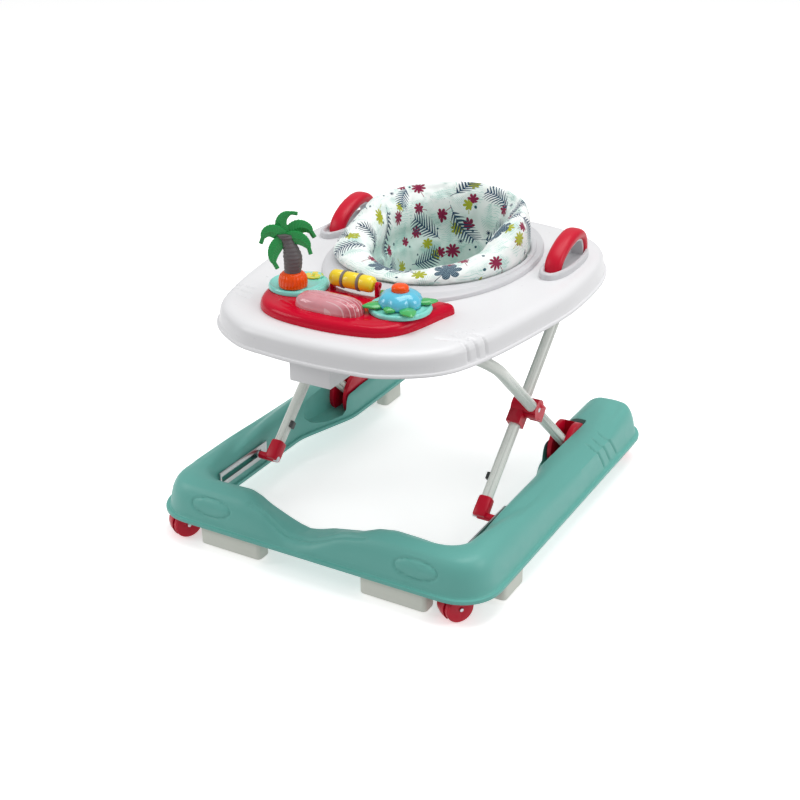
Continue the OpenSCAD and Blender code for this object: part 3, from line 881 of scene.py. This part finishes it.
def panel_loop():
    front = spline([(-146, 176), (-147, 150), (-140, 118), (-127, 92), (-103, 72), (-66, 60), (-10, 56),
                    (44, 60), (92, 74), (118, 102), (131, 140), (139, 178), (148, 212)], 10)
    front = resample(front, 121)
    a = np.linspace(math.radians(241), math.radians(299), 60)
    ring = np.stack([176 * np.cos(a), 421 + 237 * np.sin(a)], axis=1)
    rear = np.vstack([[(-146, 176), (-134, 196), (-110, 208)], ring, [(112, 216), (132, 217), (148, 212)]])
    rear = resample(rear, 121)
    loop = np.vstack([front, rear[-2:0:-1]])
    for _ in range(3):
        loop = 0.5 * loop + 0.25 * (np.roll(loop, 1, axis=0) + np.roll(loop, -1, axis=0))
    return loop, 120


def toy_panel():
    loop, half = panel_loop()
    levels = [(0, 408.1), (0, 411), (0.5, 415), (1.6, 418.5), (3.4, 421.2), (6, 423), (9, 423.8), (12, 424)]
    piece = banded("play_panel", loop, half, levels, top_rise=0.6, crown=8)
    rim = spline([(-92, 96), (-60, 84), (-20, 78), (20, 79), (58, 86), (92, 104)], 8)
    press(piece, [(x, b, 423.6) for x, b in rim], 2.4, -1.2)
    return fit(piece, "tray", "toy_red", RED_GLOSS, "toy_panel", angle=30)


def lens_material():
    n = Nodes("lens_pink")
    at = n.coordinate()
    cloud = n.noise(at, 40.0, 3.0)
    split = n.add("SeparateXYZ")
    n.link(at, split.inputs[0])
    x, y = split.outputs[0], split.outputs[1]
    tone = n.blend(cloud, srgb(236, 152, 162), srgb(246, 182, 190))
    tone = n.blend(n.span(x, 0.016, 0.036, 0.0, 0.75), tone, srgb(204, 70, 88))
    bend = n.times(n.math("POWER", n.size(n.plus(x, 0.009)), 2.0), 3.2)
    row = n.row(n.times(n.plus(y, bend), 150.0))
    line = n.times(n.below(row, 0.09), n.above(x, -0.004))
    n.colour(n.blend(n.times(line, 0.7), tone, srgb(252, 226, 228)))
    n.gloss(n.span(cloud, 0.3, 0.7, 0.1, 0.18))
    n.set(Transmission_Weight=0.25, IOR=1.45, Coat_Weight=0.6)
    n.bump(n.noise(at, 300.0, 2.0), 0.1, 0.00002)
    return n.material


def lens():
    n = 72
    a = circle(n)
    c, s = np.cos(a), np.sin(a)
    rings = [pole((-9, 105, 423.6), n)]
    profile = [(1.0, 423.6), (1.0, 426), (0.985, 430), (0.95, 434.5), (0.88, 438.5),
               (0.76, 441.6), (0.58, 443.8), (0.34, 445.1), (0.14, 445.6)]
    for scale, z in profile:
        x = -9 + squared(c, 0.62) * 57 * (0.25 + 0.75 * scale)
        b = 105 + squared(s, 0.8) * 25 * scale
        rings.append(level(z, x, b))
    rings.append(pole((-9, 105, 445.7), n))
    piece = loft("lens_cover", rings)
    for k in (-10, -2, 6):
        line = [(x, 105 + k, 444.6 - abs(x + 9) * 0.03) for x in np.linspace(-50, 24, 14)]
        press(piece, line, 0.9, 1.2)
    over = [(82, 426), (86, 436), (94, 442), (105, 444.5), (116, 442), (124, 436), (128, 426)]
    press(piece, [(31, b, z) for b, z in over], 1.2, 0.9)
    return fit(piece, "tray", "pink_lens", lens_material(), "lens_dome", angle=45)


PALM = (-98.0, 141.0)
PALM_DISC = (-100.0, 160.0)
SPINNER = (-92.0, 191.0)
TURTLE = (86.0, 151.0)


def toy_disc(name, centre, node, ribs):
    profile = [(0, 424.1), (46, 424.1), (47.6, 425), (48.4, 427, 0.6), (48.2, 429.5, 1.0),
               (46.6, 431.4, 0.6), (44.5, 432), (43, 431.4), (42, 430.9), (36, 431), (34.6, 431.8),
               (33, 432), (31, 431.3), (0, 431.2)]
    piece = turned(name, centre, profile, 160, ribs, 1.4)
    return fit(piece, "tray", "aqua_disc", AQUA, node, angle=45)


def palm_tree():
    bell = [(0, 431.6), (20.5, 431.6), (22, 432.6), (22.6, 436, 1), (22.6, 442, 1),
            (21.6, 447, 1), (19.5, 451, 0.8), (16.2, 454, 0.3), (13.5, 455.2), (0, 455.6)]
    dome = turned("palm_dome_ribbed", PALM, bell, 128, 24, 1.1)
    fit(dome, "palm", "orange_plastic", ORANGE, "palm_dome", angle=40)

    def lean(z):
        t = max(0.0, (z - 455) / 58)
        return (2.5 * math.sin(math.pi * t) - 12 * t ** 2.6, 0.0)

    profile = [(0, 452)]
    for k, z in enumerate(np.linspace(453, 514, 62)):
        t = (z - 453) / 61
        body = np.interp(t, [0, 0.2, 0.45, 0.65, 0.85, 1.0], [12.6, 13.6, 14.0, 11.4, 9.4, 13.0])
        ring = 0.9 * abs(math.sin(math.pi * k / 6)) * (0.4 + t)
        profile.append((body + ring, z))
    profile.append((0, 515))
    trunk = turned("palm_trunk_ringed", PALM, profile, 40, lean=lean)
    fit(trunk, "palm", "trunk_grey", TRUNK, "palm_trunk", angle=60)

    # Sickle leaves stand upright round the head, flat sides to the front right.
    # Each has its spine (along, up), half width, forward shift and forward tilt.
    head = np.array([PALM[0] - 10, PALM[1], 508.0])
    sweep = np.array([0.869, 0.495, 0.0])
    front = np.array([0.495, -0.869, 0.0])
    high = np.array([0.0, 0.0, 1.0])
    blades = [
        ([(-1, 0), (-5, 11), (-7, 22), (-2, 32), (8, 37), (19, 36)], 9.0, -1.0, -0.1),
        ([(-2, 0), (-10, 7), (-21, 12), (-31, 8), (-38, -7)], 10.6, 1.5, 0.15),
        ([(-2, -1), (-11, -7), (-18, -18), (-19, -31), (-13, -43)], 10.2, 4.0, 0.35),
        ([(2, 1), (10, 9), (21, 14), (34, 10), (43, -4)], 11.6, -2.5, -0.2),
        ([(2, 0), (11, 2), (23, 0), (33, -8), (38, -22)], 10.0, 3.0, 0.25),
    ]
    leaves = []
    for spine, half, forward, tilt in blades:
        centre = resample(spline(np.array(spine, float), 8), 52)
        rings = []
        for k, (u, v) in enumerate(centre):
            t = k / 51
            step = centre[min(k + 1, 51)] - centre[max(k - 1, 0)]
            step /= np.linalg.norm(step)
            side = -step[1] * sweep + step[0] * high
            wide = half * (0.3 + 0.7 * math.sin(math.pi * min(1, t * 1.12 + 0.1) ** 0.85) ** 0.75)
            wide = max(wide, 1.4) * (1 + 0.04 * math.sin(k * 2.1))
            edge = np.linspace(-1, 1, 17)
            ridge = 0.55 * np.sin((k * 1.2 - np.abs(edge) * 6) * 1.4) * (1 - np.abs(edge) ** 4)
            vein = 0.8 * np.exp(-(edge / 0.12) ** 2)
            drop = -0.16 * wide * np.abs(edge) ** 1.7
            out = forward + tilt * math.hypot(u, v)
            spot = head + u * sweep + v * high
            rib = ridge + vein
            top = [spot + side * (e * wide) + front * (out + 1.5 + d + r) for e, d, r in zip(edge, drop, rib)]
            low = [spot + side * (e * wide) + front * (out - 1.3 + d) for e, d in zip(edge[::-1], drop[::-1])]
            rings.append(np.array(top + low))
        leaves.append(loft("palm_leaf", capped(rings)))
    crown = join(leaves)
    crown.name = "palm_fronds"
    fit(crown, "palm", "leaf_green", LEAF, "palm_leaves", angle=60)


def spinner():
    n = Nodes("spinner_pattern")
    at = n.coordinate()
    cells = n.texture("TexVoronoi", at, {"Scale": 120.0})
    split = n.add("SeparateColor")
    n.link(cells.outputs["Color"], split.inputs[0])
    one = n.blend(n.above(split.outputs[0], 0.5), srgb(184, 206, 60), srgb(148, 222, 206))
    two = n.blend(n.above(split.outputs[1], 0.72), one, srgb(236, 214, 60))
    n.colour(two)
    n.set(Roughness=0.2, Coat_Weight=0.6)
    plate = [(0, 431.5), (13.6, 431.5), (14.8, 432.4), (14.6, 433.8), (13.4, 434.4),
             (11, 434.1), (3.6, 434.1), (3, 435.4), (0, 436)]
    piece = turned("spinner_plate", SPINNER, plate, 64)
    fit(piece, "spinner", "lime_disc", n.material, "pattern_disc", angle=40)


ROLLER_BACK = 180.0
ROLLER_Z = 442.0


def bead_roller():
    def barrel(name, profile, start):
        a = circle(48)
        rings = []
        for x, r in profile:
            back, z = ROLLER_BACK + r * np.cos(a), ROLLER_Z + r * np.sin(a)
            rings.append(np.column_stack([np.full(48, start + x), back, z]))
        return loft(name, rings)

    body = [(0, 0), (0, 6), (1.2, 9.4), (4, 12), (8, 13), (20, 13.2), (22, 12.4), (23, 11.2),
            (26, 11.2), (27, 12.4), (29, 13.2), (48, 13.2), (50, 12.4), (51, 11.2), (54, 11.2),
            (55, 12.4), (57, 13.2), (69, 13), (74, 12), (77, 9), (78, 6), (78, 0)]
    roller = barrel("roller_barrel", body, -53)
    fit(roller, "bead_roller", "yellow_roller", YELLOW, "roller", angle=40)
    band = [(0, 10.8), (0, 13.4), (0.6, 14.2), (3.4, 14.2), (4, 13.4), (4, 10.8), (0, 10.8)]
    for k, x in enumerate((-30.5, -2.5)):
        ring = barrel(f"roller_band_{k + 1}", band, x)
        fit(ring, "bead_roller", "yellow_roller", GREY_RUBBER, angle=40)
    refined("roller_cradle", "cradle_grey", RED_GLOSS, 0.8)


def turtle():
    n = 120
    a = circle(n)
    rings = [pole((*TURTLE, 431.8), n)]
    steps = [(30, 431.8, 1.0), (33.5, 433.5, 1.0), (34.5, 437, 1.0), (34, 441.5, 0.95), (31.5, 446.5, 0.85),
             (27, 450.6, 0.7), (21.5, 453.4, 0.45), (16, 454.8, 0.2), (13.6, 454.9, 0)]
    for r, z, lobe in steps:
        wave = r * (1 - lobe * 0.075 * (1 - np.abs(np.cos(3 * a + 0.4)) ** 0.6) * 2)
        rings.append(level(z, TURTLE[0] + wave * np.cos(a), TURTLE[1] + wave * np.sin(a)))
    rings.append(level(448.0, TURTLE[0] + 13.4 * np.cos(a), TURTLE[1] + 13.4 * np.sin(a)))
    rings.append(pole((*TURTLE, 447.6), n))
    shell = loft("turtle_shell", rings)
    fit(shell, "turtle", "turtle_blue", SEA_BLUE, "turtle_body", angle=50)
    flippers = []
    fins = [(-44, 26, 12.5), (-136, 26, 12.5), (36, 24, 11), (150, 24, 11), (-90, 13, 10)]
    for turn, length, wide in fins:
        t = math.radians(turn)
        out = np.array([math.cos(t), math.sin(t)])
        side = np.array([-out[1], out[0]])
        m = 28
        b = circle(m)
        levels = []
        middle = np.array([TURTLE[0], TURTLE[1]]) + out * (27 + length / 2)
        for scale, z in ((0.0, 433.4), (0.86, 433.2), (1.0, 434.4), (1.0, 436.4),
                         (0.84, 438), (0.45, 439.2), (0.0, 439.8)):
            u = np.cos(b) * length * 0.75 * scale
            v = squared(np.sin(b), 1.2) * wide * scale
            point = 1 - 0.45 * smooth_step(np.cos(b), 0, 1)
            flat = middle + u[:, None] * out + (v * point)[:, None] * side
            levels.append(level(z, flat))
        flippers.append(loft("flipper", levels))
    fins = join(flippers)
    fins.name = "turtle_flippers"
    fit(fins, "turtle", "turtle_blue", FLIPPER, angle=50)
    knob = [(0, 447.9), (12, 447.9), (12.8, 449), (13.1, 452), (13.1, 459),
            (12.5, 461.4), (10.6, 463.2), (7, 464.2), (0, 464.6)]
    button = turned("turtle_cap", TURTLE, knob, 64)
    fit(button, "turtle_top", "orange_plastic", ORANGE, "turtle_button", angle=40)


# ---- Seat ----

def seat_print():
    """Cotton printed with ferns, chequered leaves, palmate leaves and dots, over pale foliage."""
    n = Nodes("seat_cotton")
    uv = n.coordinate("UV")
    weave_at = n.coordinate("Object")

    def cells(scale, jitter, turn):
        mapped = n.add("Mapping")
        n.link(uv, mapped.inputs["Vector"])
        mapped.inputs["Rotation"].default_value = (0, 0, turn)
        sockets = {"Scale": scale, "Randomness": jitter}
        node = n.texture("TexVoronoi", mapped.outputs[0], sockets, voronoi_dimensions="2D")
        colour = n.add("SeparateColor")
        n.link(node.outputs["Color"], colour.inputs[0])
        away = n.add("VectorMath", operation="SUBTRACT")
        n.link(mapped.outputs[0], away.inputs[0])
        n.link(node.outputs["Position"], away.inputs[1])
        spun = n.add("VectorRotate", rotation_type="Z_AXIS")
        n.link(away.outputs[0], spun.inputs["Vector"])
        n.link(n.times(colour.outputs[2], 6.2832), spun.inputs["Angle"])
        xy = n.add("SeparateXYZ")
        n.link(spun.outputs[0], xy.inputs[0])
        return xy.outputs[0], xy.outputs[1], colour.outputs[0], colour.outputs[1]

    def both(*masks):
        out = masks[0]
        for m in masks[1:]:
            out = n.times(out, m)
        return out

    def either(a, b):
        return n.math("MAXIMUM", a, b)

    def between(value, low, high):
        return both(n.above(value, low), n.below(value, high))

    def fern(x, y, length, reach, step):
        bent = n.minus(y, n.times(n.times(x, x), 5.0))
        off = n.size(bent)
        along = n.minus(x, n.times(off, 0.75))
        row = n.row(n.over(along, step))
        ends = n.over(along, length)
        envelope = n.minus(1.0, n.times(ends, ends), clamp=True)
        limit = n.times(n.root(envelope), reach)
        part = n.over(off, n.plus(limit, 0.0003))
        taper = n.times(n.root(n.minus(1.0, part, clamp=True)), 0.34)
        leaflets = both(n.below(row, taper), n.below(part, 1.0))
        stem = both(n.below(off, 0.0007), between(x, -length * 1.3, length * 0.9))
        return either(leaflets, stem)

    def palmate(x, y, size, lobes, sharp):
        r = n.reach(x, y)
        turn = n.math("ARCTAN2", y, x)
        wave = n.size(n.math("COSINE", n.times(turn, lobes / 2)))
        edge = n.times(n.plus(n.times(n.math("POWER", wave, sharp), 0.62), 0.38), size)
        blade = n.below(r, edge)
        stem = both(n.below(n.size(y), 0.0006), between(x, -size * 1.9, 0.0))
        return blade, stem

    # Ground: pale sketch of stems and leaves; a darker mint copy of the ground is painted shade on the lower
    # inside of the bucket
    inside = n.add("Attribute", attribute_name="inside").outputs["Fac"]
    wash = n.noise(uv, 22.0, 3.0, 0.6)
    ground = n.blend(n.span(wash, 0.38, 0.62, 0.0, 1.0), srgb(248, 251, 249), srgb(236, 246, 242))
    # Darker copy of the pale ground: painted shade in the bucket's hollow, laid on where the inside attribute
    # is high
    deep = n.blend(n.span(wash, 0.4, 0.6, 0.0, 1.0), srgb(220, 238, 231), srgb(200, 228, 219))
    ground = n.blend(inside, ground, deep)
    sx, sy, _, _ = cells(20.0, 0.8, 0.3)
    sketch = fern(sx, sy, 0.026, 0.014, 0.0036)
    veil = n.span(n.noise(uv, 40.0, 2.0), 0.35, 0.65, 0.1, 0.75)
    ground = n.blend(n.times(sketch, veil), ground, srgb(150, 200, 190))
    sockets = {"Scale": 60.0, "Distortion": 9.0, "Detail": 2.0}
    waves = n.texture("TexWave", uv, sockets, wave_type="RINGS")
    fine = both(n.above(waves.outputs["Fac"], 0.86), n.span(wash, 0.5, 0.56, 0.0, 0.7))
    ground = n.blend(fine, ground, srgb(172, 212, 203))

    navy, lime, wine = srgb(40, 60, 84), srgb(170, 176, 44), srgb(140, 22, 66)

    # Small leaves, dots and starbursts
    dx, dy, d0, d1 = cells(30.0, 0.9, 1.1)
    r = n.reach(dx, dy)
    dot = both(n.below(r, n.span(d1, 0.0, 1.0, 0.0018, 0.0032)), n.above(d0, 0.66))
    colour = n.blend(dot, ground, srgb(38, 84, 98))
    leaf, stem = palmate(dx, dy, 0.0120, 7, 0.6)
    small = both(either(leaf, stem), between(d0, 0.0, 0.24))
    colour = n.blend(small, colour, n.blend(n.below(d1, 0.5), wine, lime))
    star, _ = palmate(dx, dy, 0.0062, 9, 3.0)
    colour = n.blend(both(star, between(d0, 0.3, 0.38)), colour, navy)

    # Large ferns, chequered leaf clusters and palmate leaves
    fx, fy, f0, f1 = cells(14.0, 0.5, 0.0)
    frond = both(fern(fx, fy, 0.034, 0.021, 0.0066), n.below(f0, 0.52))
    cluster, stalk = palmate(fx, fy, 0.0225, 7, 0.4)
    nets = either(n.below(n.math("FRACT", n.times(fx, 330.0)), 0.15),
                  n.below(n.math("FRACT", n.times(fy, 330.0)), 0.15))
    chosen = between(f0, 0.52, 0.76)
    cloth = n.blend(nets, navy, srgb(146, 178, 188))
    colour = n.blend(both(stalk, chosen), colour, navy)
    colour = n.blend(both(cluster, chosen), colour, cloth)
    colour = n.blend(frond, colour, n.blend(f1, navy, srgb(50, 82, 110)))
    leaf, stem = palmate(fx, fy, 0.0150, 9, 0.7)
    hand = both(either(leaf, stem), n.above(f0, 0.76))
    colour = n.blend(hand, colour, n.blend(n.below(f1, 0.45), lime, wine))

    n.colour(colour)
    n.set(Roughness=0.85, Sheen_Weight=0.2, Specular_IOR_Level=0.25)
    thread = n.texture("TexWave", weave_at, {"Scale": 900.0}, wave_type="BANDS", bands_direction="DIAGONAL")
    soft = n.noise(weave_at, 60.0, 4.0, 0.6)
    height = n.plus(n.times(thread.outputs["Fac"], 0.25), soft)
    n.bump(height, 0.35, 0.0012)
    return n.material


def collar_width(s):
    """Width of the padded collar: broad at the sides, narrow at the tall back."""
    return np.interp(s, [-1.0, -0.6, -0.1, 0.35, 0.75, 1.0], [34, 40, 46, 40, 22, 17])


def rim_height(back):
    """Crest of the seat: low at the front, rising to the padded back."""
    return np.interp(back, [256, 281, 332, 385, 412, 431, 453, 520, 580, 604],
                     [428, 438, 445, 458, 468, 478, 485, 488, 490, 491])


def seat():
    n = 120
    a = circle(n)
    c, s = np.cos(a), np.sin(a)
    cb = HOLE[2]

    def oval(rx, ry, z):
        return np.column_stack([rx * c, cb + ry * s, np.broadcast_to(z, n)])

    crest_at = rim_height(cb + 172 * s)
    collar = collar_width(s)
    rings = [pole((0, cb, 260), n)]
    for rx, ry, z in ((40, 45, 260), (78, 88, 262), (92, 104, 272), (106, 119, 292), (120, 136, 324),
                      (132, 152, 356), (141, 164, 384)):
        rings.append(oval(rx, ry, z))
    rings.append(oval(146.5, 170.5, 400))
    rings.append(oval(146.5, 170.5, 418))
    # The collar drapes over the ring, furthest at the front left
    left_front = np.exp(-(((np.degrees(a) - 222 + 180) % 360 - 180) / 44) ** 2)
    over = 3 + 7 * smooth_step(-s, -0.1, 0.8) + 13 * left_front
    base = 420.4
    tall = crest_at - base
    for t, out in ((0.0, 0.86), (0.05, 1.0), (0.3, 1.0), (0.55, 0.8), (0.75, 0.35)):
        rings.append(oval(147 + over * out, 171 + over * out, base + tall * t))
    shoulder = [(0.08, 0.9), (0.2, 0.98), (0.38, 1.0), (0.6, 0.97), (0.8, 0.86), (0.94, 0.68), (1.0, 0.45)]
    for part, t in shoulder:
        inset = 1.5 + collar * part
        rings.append(oval(147 - inset, 171 - inset, base + tall * t))
    deep_x = np.maximum(147 - collar, 104)
    deep_y = 171 - collar
    for t, z in ((0.0, 404), (0.03, 384), (0.06, 356), (0.1, 326), (0.18, 296), (0.3, 278), (0.42, 269)):
        rings.append(oval((deep_x - 2) * (1 - t), (deep_y - 2) * (1 - t), z))
    rings.append(oval(38, 42, 266))
    rings.append(pole((0, cb, 266), n))
    piece = loft("seat_bucket", rings)
    turn = circle(28)
    for x in (-52, 52):
        across_x, across_z = x + 35 * np.cos(turn), 307 + 33 * np.sin(turn)
        tunnel = [np.column_stack([across_x, np.full(28, b), across_z]) for b in (250, 300, 350, 388)]
        ends = [pole((x, b, 307), 28) for b in (250, 388)]
        cut(piece, loft("leg_hole", [ends[0]] + tunnel + [ends[1]]))
    modify(piece, "REMESH", mode="VOXEL", voxel_size=0.0048, use_smooth_shade=True)
    start = coordinates(piece)
    swell(piece, start)
    wrinkle(piece)
    modify(piece, "SUBSURF", levels=1, render_levels=1)
    map_seat(piece)
    fit(piece, "tray", "seat_fabric", seat_print(), "seat_fabric", angle=80)
    return piece


CLOTH_STEPS = 20
SWELL_LIMIT = 0.006


def swell(piece, start):
    """Blows the pad up a little as cloth, held near its starting shape."""
    co = in_mm(start)
    held = piece.vertex_groups.new(name="held")
    for index in np.flatnonzero((co[:, 2] > 392) & (co[:, 2] < 412)):
        held.add([int(index)], 1.0, "REPLACE")
    mod = piece.modifiers.new("cloth", "CLOTH")
    cloth = mod.settings
    cloth.quality = 5
    cloth.mass = 0.3
    cloth.tension_stiffness = 12
    cloth.compression_stiffness = 8
    cloth.shear_stiffness = 5
    cloth.bending_stiffness = 0.4
    cloth.use_pressure = True
    cloth.uniform_pressure_force = 4.0
    cloth.effector_weights.gravity = 0.0
    cloth.vertex_group_mass = "held"
    mod.collision_settings.use_collision = False
    scene = bpy.context.scene
    scene.frame_start, scene.frame_end = 1, CLOTH_STEPS
    mod.point_cache.frame_start, mod.point_cache.frame_end = 1, CLOTH_STEPS
    for step in range(1, CLOTH_STEPS + 1):
        scene.frame_set(step)
    choose(piece)
    bpy.ops.object.modifier_apply(modifier=mod.name)
    scene.frame_set(1)
    moved = coordinates(piece) - start
    size = np.linalg.norm(moved, axis=1)
    moved *= (np.minimum(size, SWELL_LIMIT) / np.maximum(size, 1e-9))[:, None]
    set_coordinates(piece, start + moved)
    piece.vertex_groups.clear()


def wrinkle(piece):
    """Soft gathers that run down from the crest, and a stitched line under it."""
    co = coordinates(piece)
    mm = in_mm(co)
    angle = np.arctan2(mm[:, 1] - HOLE[2], mm[:, 0])
    crest = rim_height(mm[:, 1])
    above = smooth_step(mm[:, 2], 398, 425)
    folds = np.sin(angle * 17 + 1.2 * np.sin(angle * 5)) * 0.7 + np.sin(angle * 31 + 2.0) * 0.35
    inner = np.hypot(mm[:, 0] / 140, (mm[:, 1] - HOLE[2]) / 164) < 0.99
    deep = 1 - smooth_step(mm[:, 2], 300, 420)
    push = folds * (0.5 * above + 1.6 * deep * inner)
    stitch = np.exp(-((mm[:, 2] - (crest - 13)) / 2.6) ** 2) * above
    push -= 1.1 * stitch
    set_coordinates(piece, co + normals(piece) * push[:, None] * MM)


def map_seat(piece):
    """UV map that unrolls the bucket at true size, and the inside attribute that places the print's painted
    shade, a darker mint ground on the lower inside of the bucket.
    """
    mesh = piece.data
    mm = in_mm(coordinates(piece))
    angle = np.arctan2(mm[:, 1] - HOLE[2], mm[:, 0])
    angle = np.mod(angle + math.pi / 2, 2 * math.pi)
    radial = np.hypot(mm[:, 0] / 141.5, (mm[:, 1] - HOLE[2]) / 165.5)
    s = -np.cos(angle)
    crest = rim_height(HOLE[2] + 172 * s)
    inset = (1 - radial) * 155 + 6
    past = inset > 1.5 + 0.38 * collar_width(s)
    u = angle * 0.155
    v = (np.where(past, 2 * crest - mm[:, 2], mm[:, 2]) + inset) * MM
    layer = mesh.uv_layers.active or mesh.uv_layers.new(name="print")
    loops = fetch(mesh.loops, "vertex_index", np.int32)
    uv = np.stack([u[loops], v[loops]], axis=1)
    faces = fetch(mesh.polygons, "loop_start", np.int32)
    totals = fetch(mesh.polygons, "loop_total", np.int32)
    for start, total in zip(faces, totals):
        part = uv[start:start + total]
        if part[:, 0].max() - part[:, 0].min() > 0.4:
            part[:, 0] = part[0, 0]
    layer.data.foreach_set("uv", uv.astype(np.float32).ravel())
    # Inside attribute: where the print's ground is darkened as painted shade, low down and within the bucket
    hollow_shade_mark = mesh.attributes.new("inside", "FLOAT", "POINT")
    lower = 1 - smooth_step(mm[:, 2] - 0.12 * (mm[:, 1] - HOLE[2]), 408, 438)
    within = 1 - smooth_step(radial, 0.8, 0.93)
    hollow_shade_mark.data.foreach_set("value", (lower * within).astype(np.float32))


# ---- Feet of the inner legs ----

FOOT = (199.6, 205.8, 73.8)
LEG_RUN = (0.742, 0.670)


def foot(side):
    """Square-shouldered sleeve on the tube's end, with a short arm to its pin."""
    name = "left" if side < 0 else "right"
    a = circle(32)
    c, s = np.cos(a), np.sin(a)
    rings = []
    sleeve_steps = [(-4, 0), (-4, 9), (-3, 11), (-1, 11.8), (8, 12), (28, 11.6), (30, 11), (31, 10), (31, 0)]
    for run, half in sleeve_steps:
        u = squared(c, 0.55) * half
        v = squared(s, 0.55) * half
        back = FOOT[1] + LEG_RUN[0] * run - LEG_RUN[1] * v
        z = FOOT[2] + LEG_RUN[1] * run + LEG_RUN[0] * v
        rings.append(np.column_stack([side * FOOT[0] + u, back, z]))
    sleeve = loft("foot_sleeve_" + name, rings)
    rings = []
    for reach, r in ((-4, 0), (-4, 5.4), (-3.2, 6.4), (25.4, 6.4), (26.4, 5.4), (26.4, 0)):
        x = np.full(32, side * (FOOT[0] + reach))
        rings.append(np.column_stack([x, FOOT[1] + r * c, FOOT[2] + r * s]))
    arm = loft("foot_arm", rings)
    piece = join([sleeve, arm])
    fit(piece, body_holding("foot_" + name), "red_fitting", RED, "foot_" + name, angle=40)


# ---- Carried-over parts ----

def carried():
    groups = [
        ("red_fitting", RED, 1.6, "hub_left hub_right"),
        ("red_fitting", RED, 1.2, "clamp_outer_left clamp_outer_right clamp_inner_left clamp_inner_right"),
        ("steel_pin", STEEL, 0.5, "hub_pins cross_pins foot_pins pivot_pins"),
        ("leg_tube", TUBE, 0, "outer_leg_frame inner_tube_left inner_tube_right"),
        ("dark_plastic", DARK, 0.3, "tube_clips"),
        ("slot_rail", RAIL, 0.4, "slot_rail_left slot_rail_right"),
        ("stopper_pad", PAD, 2.2, "front_pads side_pads"),
        ("white_tray", WHITE, 5.0, "adjust_housing"),
        ("latch_red", RED, 0.8, "height_latch"),
        ("bracket_plastic", BRACKET, 0.8, "pivot_bracket_left pivot_bracket_right"),
        ("dark_plastic", DARK, 0.6, "seat_hooks"),
        ("steel_pin", STEEL, 0.2, "panel_screws"),
        ("circuit_board", BOARD, 0.3, "circuit_board"),
    ]
    for corner in ("fl", "fr", "rl", "rr"):
        groups.append(("caster_hood", RED, 1.0, "caster_hood_" + corner))
        groups.append(("caster_wheel", RED, 1.0, "caster_wheels_" + corner))
        groups.append(("steel_pin", STEEL, 0.3, "caster_axle_" + corner))
    for slot, material, bevel, nodes in groups:
        for node in nodes.split():
            refined(node, slot, material, bevel)
    refined("caster_sockets", "bracket_plastic", BRACKET, 0, ceiling=83)


# ---- Floor, light and camera ----

def studio():
    deselect()
    bpy.ops.mesh.primitive_grid_add(x_subdivisions=4, y_subdivisions=4, size=30)
    floor = bpy.context.object
    floor.name = "floor"
    n = Nodes("floor_white")
    drift = n.noise(n.coordinate(), 0.6, 2.0)
    n.colour(n.blend(drift, (0.93, 0.93, 0.93, 1), (0.95, 0.95, 0.95, 1)))
    n.set(Roughness=0.9, Specular_IOR_Level=0.1, Emission_Color=(1, 1, 1, 1), Emission_Strength=0.46)
    floor.data.materials.append(n.material)
    floor.visible_diffuse = False
    scene = bpy.context.scene
    scene.view_settings.view_transform = "Standard"
    world = bpy.data.worlds.new("studio")
    scene.world = world
    world.use_nodes = True
    world.node_tree.nodes["Background"].inputs[0].default_value = (1, 1, 1, 1)
    world.node_tree.nodes["Background"].inputs[1].default_value = 0.5
    lamps = [
        ("overhead", (0.3, 0.5, 3.4), (0, 0, 0.2), 2.4, 60),
        ("left_front", (-2.4, -1.6, 1.8), (0, 0, 0.2), 1.4, 20),
        ("right_side", (2.6, 0.4, 1.8), (0, 0, 0.3), 1.4, 20),
    ]
    for name, at, to, size, power in lamps:
        lamp = bpy.data.lights.new(name, "AREA")
        lamp.shape = "SQUARE"
        lamp.size = size
        lamp.energy = power
        holder = bpy.data.objects.new(name, lamp)
        scene.collection.objects.link(holder)
        holder.location = at
        holder.rotation_euler = (Vector(to) - Vector(at)).to_track_quat("-Z", "Y").to_euler()


def camera():
    azimuth, elevation, roll = 0.5175, 0.4512, -0.0055
    distance = 2.21935
    target = Vector((0.0599, -0.1497, 0.2500))
    flat = math.cos(elevation)
    forward = Vector((-math.sin(azimuth) * flat, math.cos(azimuth) * flat, -math.sin(elevation)))
    right = Vector((math.cos(azimuth), math.sin(azimuth), 0))
    up = right.cross(forward)
    r = right * math.cos(roll) + up * math.sin(roll)
    u = up * math.cos(roll) - right * math.sin(roll)
    lens_data = bpy.data.cameras.new("camera")
    lens_data.sensor_width = 36
    lens_data.lens = 63.3
    holder = bpy.data.objects.new("camera", lens_data)
    bpy.context.scene.collection.objects.link(holder)
    turn = Matrix((r, u, -forward)).transposed().to_4x4()
    holder.matrix_world = Matrix.Translation(target - forward * distance) @ turn
    bpy.context.scene.camera = holder


camera()
studio()
base_shell()
tray_shell()
seat_ring()
for side in (-1, 1):
    handle(side)
    foot(side)
toy_panel()
lens()
toy_disc("palm_disc_stepped", PALM_DISC, "palm_disc", 0)
toy_disc("turtle_disc_fluted", TURTLE, "turtle_disc", 72)
palm_tree()
spinner()
bead_roller()
turtle()
seat()
carried()
